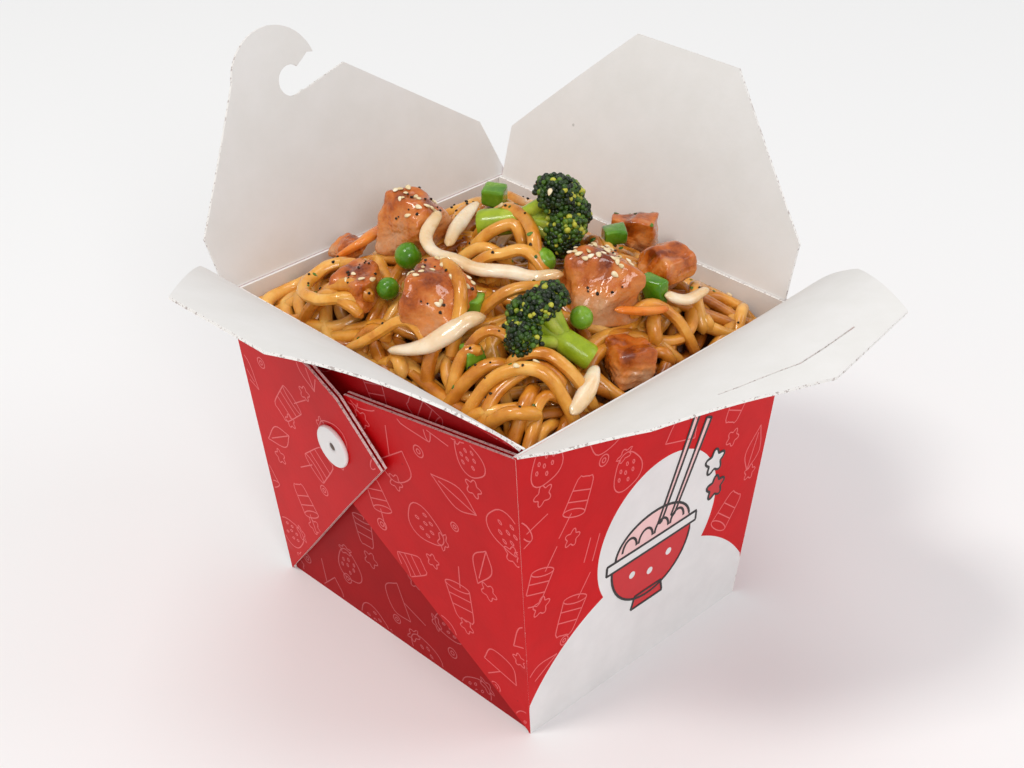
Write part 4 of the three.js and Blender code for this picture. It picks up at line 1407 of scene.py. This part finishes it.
def floret(name, crown, foot, lobes, dome_radius, stalk_radius, seed):
    """A stalk from foot to crown that branches into lobes of buds."""
    rng = np.random.default_rng(seed)
    crown, foot = np.asarray(crown, float), np.asarray(foot, float)
    axis = unit((crown - foot)[None])[0]
    fork = foot + (crown - foot) * 0.5
    stalk, buds = Heap(), Heap()
    trunk = smooth_curve([foot, foot + (fork - foot) * 0.5, fork, crown], 0.8)
    thick = stalk_radius * np.interp(np.linspace(0, 1, len(trunk)), [0, 0.04, 0.45, 1], [0.9, 1.0, 0.95, 0.5])
    points, faces = tube(trunk, thick, sides=22, flat=0.9)
    points = points + 0.12 * waves(points, rng, 3.0, 2)[:, None] * unit(points - fork)
    stalk.add(points, faces, tone=rng.uniform(0.3, 0.6))
    side = unit(np.cross(axis, [0.0, 0.0, 1.0])[None])[0]
    over = np.cross(side, axis)
    for lobe in range(lobes):
        around = lobe * GOLDEN_ANGLE * 1.7
        spread = 0.0 if lobe == 0 else (0.75 if lobe < lobes * 0.6 else 1.15)
        pull = side * math.cos(around) * spread + over * math.sin(around) * spread
        centre = crown + pull * dome_radius * 1.25 + axis * dome_radius * (0.5 - 0.55 * spread)
        centre = centre + [0, 0, spread * 0.2]
        branch = smooth_curve([fork - axis * 1.0, fork + (centre - fork) * 0.5 + pull * 0.3, centre], 0.8)
        thin = stalk_radius * np.linspace(0.55, 0.34, len(branch))
        stalk.add(*tube(branch, thin, sides=10), tone=rng.uniform(0.4, 0.8))
        radius = dome_radius * rng.uniform(0.85, 1.1)
        stalk.add(centre + MIDDLE_NET[0] * radius * 0.8, [MIDDLE_NET[1]], tone=0.1)
        outward = unit((centre - fork)[None])[0]
        count = int(8.5 * radius ** 2)
        k = np.arange(count)
        high = 1 - 1.5 * (k + 0.5) / count
        flat = np.sqrt(1 - high ** 2)
        first = unit(np.cross(outward, [0.3, 0.2, 0.9])[None])[0]
        second = np.cross(outward, first)
        directions = (high[:, None] * outward + (flat * np.cos(k * GOLDEN_ANGLE))[:, None] * first
                      + (flat * np.sin(k * GOLDEN_ANGLE))[:, None] * second)
        tone = rng.uniform(0.1, 0.6)
        for direction in directions:
            size = rng.uniform(0.5, 0.86)
            spot = centre + direction * radius * (0.9 + rng.uniform(-0.08, 0.14)) + rng.normal(0, 0.12, 3)
            yellow = 1.0 if rng.random() < 0.035 else np.clip(tone + rng.normal(0, 0.24), 0, 1)
            buds.add(spot + TINY_NET[0] * size, [TINY_NET[1]], tone=yellow)
    stem = stalk.build(name + "_stalk", [stalk_finish], "carton", "broccoli")
    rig.replaces(stem, name)
    return buds.build(name + "_buds", [bud_finish], "carton", "broccoli")


crown_1, foot_1 = on_heap([(9.5, -9, 9.5), (-3, 8, 5)])
crown_2, foot_2 = on_heap([(-20.5, -28.5, 6), (-13.5, -40.5, 3)])
buds_1 = floret("broccoli_1", crown_1, foot_1, 9, 4.8, 3.9, 5)
buds_2 = floret("broccoli_2", crown_2, foot_2, 10, 4.5, 3.5, 6)

# %% [markdown]
# ## Strips
# Onion and bean sprout strips are pale and watery, clear enough for light to run along inside them;
# carrot strips are dense and orange. Both are oval tubes along a few points on the heap, thick in the
# middle and drawn to soft ends.

# %% Strips
# Onion: light soaks well into it, and its ends have taken up some sauce.
onion_finish = food(
    "stewed_onion_strip",
    [(0.2, "#bd8344"), (0.42, "#dfbb8c"), (0.7, "#efdcc2")],
    90.0, 0.24, 0.9, 0.15, scatter=0.45, depth=0.004, radius=(1.0, 0.7, 0.5),
)
# Carrot: denser, so its colour stays strong.
carrot_finish = food(
    "stewed_carrot_strip",
    [(0.2, "#b24a0e"), (0.5, "#dd7a22"), (0.8, "#eb9a45")],
    120.0, 0.28, 0.6, 0.25, scatter=0.25,
)
STRIP_RISE = 3.5  # how far noodles may lift a strip off its route


def strip(name, route, width, flat, finish, slot, seed):
    """A vegetable strip along a route of x, y and lift."""
    rng = np.random.default_rng(seed)
    line = smooth_curve(on_heap(route), 0.7)
    # It rests on whatever noodles are under it.
    resting, _ = settle(line[:, :2], TOP_CAP)
    line[:, 2] = rolling_mean(np.clip(resting + 0.3, line[:, 2], line[:, 2] + STRIP_RISE), 9)
    t = np.linspace(-1, 1, len(line))
    radii = width / 2 * (1 - 0.42 * t ** 2) * np.clip(rounded_ends(line, width / 2) / (width / 2), 0.05, 1)
    points, faces = tube(line, radii, sides=20, flat=flat, spin=0.5 * np.sin(2 * t + seed))
    points = points + 0.15 * np.stack([waves(points, rng, 6.0, 2) for _ in range(3)], 1)
    piece = Heap()
    piece.add(points, faces, tone=np.repeat(rng.uniform(0.5, 0.8) - 0.5 * np.abs(t) ** 3, 20))
    made = piece.build(name + "_strip", [finish], "carton", slot)
    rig.replaces(made, name)


for seed, (name, (route, width)) in enumerate(STRIPS.items()):
    slot = name.split("_")[0]
    finish, flat = (onion_finish, 0.62) if slot == "sprout" else (carrot_finish, 0.7)
    strip(name, route, width, flat, finish, slot, seed + 3)

# %% [markdown]
# ## Peas and cut beans
# Peas are round with a dent where they sat in the pod; the beans are short knife-cut lengths with
# crisp corners. Both keep the bright green of vegetables that have only just been cooked.

# %% Greens
# Greens: bright, wet and smooth.
green_finish = food(
    "bright_cooked_green",
    [(0.15, "#284e07"), (0.45, "#4a7f10"), (0.75, "#85ab2e")],
    130.0, 0.25, 0.6, 0.15, scatter=0.2, radius=(0.5, 1.0, 0.2),
)
BEAN_TURNS = {"bean_1": 30, "bean_2": -50, "bean_3": 70, "bean_4": 55, "bean_5": 0, "bean_6": 20}
for name in toppings:
    kind = name.split("_")[0]
    if kind not in ("pea", "bean"):
        continue
    rng = np.random.default_rng(sum(map(ord, name)))
    ball, faces = MIDDLE_NET
    if kind == "pea":
        dent = np.clip(ball @ unit(rng.normal(size=(1, 3)) + [0, 0, 1.0])[0], 0, 1) ** 12
        points = ball * (1 - 0.14 * dent)[:, None] * rng.uniform(0.94, 1.0, 3)
    else:
        points = ball * cut_block(MIDDLE_NET, rng, 3, 14.0)[:, None]
    points = fit_to(points, name, BEAN_TURNS.get(name, 0), grow=0.9)
    points = points + 0.06 * waves(points, rng, 2.5, 2)[:, None] * unit(points - points.mean(0))
    piece = Heap()
    piece.add(points, [faces], tone=rng.uniform(0.2, 0.9))
    made = piece.build(name + "_green", [green_finish], "carton", "green", smooth=50)
    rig.replaces(made, name)

# %% [markdown]
# ## Seeds, pepper and herbs
# A last pinch of sesame, crushed pepper and chopped herbs falls on whatever faces up. Each grain is
# put on a random upward face of the piece it landed on, and laid flat to it.

# %% Sprinkles
# Sesame is a pale, slightly oily seed.
seed_finish = food(
    "toasted_sesame_seed",
    [(0.2, "#c9a873"), (0.5, "#e6d2a8"), (0.85, "#f3e8cf")],
    400.0, 0.4, 0.3, 0.2,
)
# Pepper is nearly black and quite dull.
pepper_finish = food(
    "crushed_black_pepper",
    [(0.3, "#17120e"), (0.6, "#33271c"), (0.9, "#5b4630")],
    900.0, 0.6, 0.1, 0.6,
)
# Herbs are thin wet flecks, darker than the vegetables.
herb_finish = food(
    "chopped_green_herb",
    [(0.2, "#24430c"), (0.5, "#40661a"), (0.85, "#6f9132")],
    500.0, 0.4, 0.3, 0.4,
)
FACING_UP = 0.55  # least upward part of a face's normal that a grain stays on


def landing_spots(piece, count, rng, area=None):
    """Random points on a piece's upward faces, in millimetres, with their normals. area narrows them."""
    mesh = piece.data
    centres = np.empty(len(mesh.polygons) * 3)
    normals = np.empty(len(mesh.polygons) * 3)
    mesh.polygons.foreach_get("center", centres)
    mesh.polygons.foreach_get("normal", normals)
    centres, normals = centres.reshape(-1, 3) / MM, normals.reshape(-1, 3)
    open_up = normals[:, 2] > FACING_UP
    if area is not None:
        open_up &= area(centres)
    chosen = rng.choice(np.flatnonzero(open_up), count)
    return centres[chosen], normals[chosen]


def grain(rng, centre, normal, size, shape):
    """One grain lying on a surface, turned at random about its normal."""
    normal = unit((normal + rng.normal(0, 0.18, 3))[None])[0]
    first = unit(np.cross(normal, rng.normal(size=3))[None])[0]
    second = np.cross(normal, first)
    ball = TINY_NET[0]
    taper = 1 - 0.35 * ball[:, 0]
    body = ball * shape * size * np.stack([np.ones(len(ball)), taper, taper], 1)
    return centre + normal * shape[2] * size * 0.7 + body @ np.stack([first, second, normal])


def sprinkle(name, targets, finish, slot, shape, sizes, seed, rough=0.0):
    """Grains of one kind over several pieces. targets holds each piece, its count and its area."""
    rng = np.random.default_rng(seed)
    heap = Heap()
    for piece, count, area in targets:
        centres, normals = landing_spots(piece, count, rng, area=area)
        for centre, normal in zip(centres, normals):
            points = grain(rng, centre, normal, rng.uniform(*sizes), np.array(shape))
            points = points + rng.normal(0, rough, points.shape)
            heap.add(points, [TINY_NET[1]], tone=rng.uniform(0, 1))
    return heap.build(name, [finish], "carton", slot)


def above(piece, depth):
    """Keeps spots within depth of a piece's top."""
    top = max(v.co.z for v in piece.data.vertices) / MM
    return lambda centres: centres[:, 2] > top - depth


seed_targets = [
    (chunks["chicken_4"], 34, above(chunks["chicken_4"], 5)),
    (chunks["chicken_2"], 20, above(chunks["chicken_2"], 7)),
    (chunks["chicken_1"], 16, None), (chunks["chicken_3"], 5, None),
    (buds_2, 12, None), (buds_1, 3, None), (noodles, 12, None),
]
pepper_targets = [(chunks[f"chicken_{n}"], 14, None) for n in (1, 2, 3, 4)]
pepper_targets += [(noodles, 90, None), (buds_2, 6, None)]
herb_targets = [(noodles, 60, None), (chunks["chicken_6"], 6, None)]
sprinkle("sesame_seeds", seed_targets, seed_finish, "sprout", (1.15, 0.75, 0.38), (0.6, 0.95), 71)
sprinkle("pepper_grains", pepper_targets, pepper_finish, "noodle", (0.42, 0.34, 0.25), (0.6, 1.2), 72, 0.03)
sprinkle("herb_flecks", herb_targets, herb_finish, "green", (0.8, 0.5, 0.12), (0.5, 1.1), 73, 0.06)

# %% Finish
json.dump({"cad": cad_bounds, "visual": [list(corner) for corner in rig.bounds()]}, open("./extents.json", "w"))
print(open("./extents.json").read())
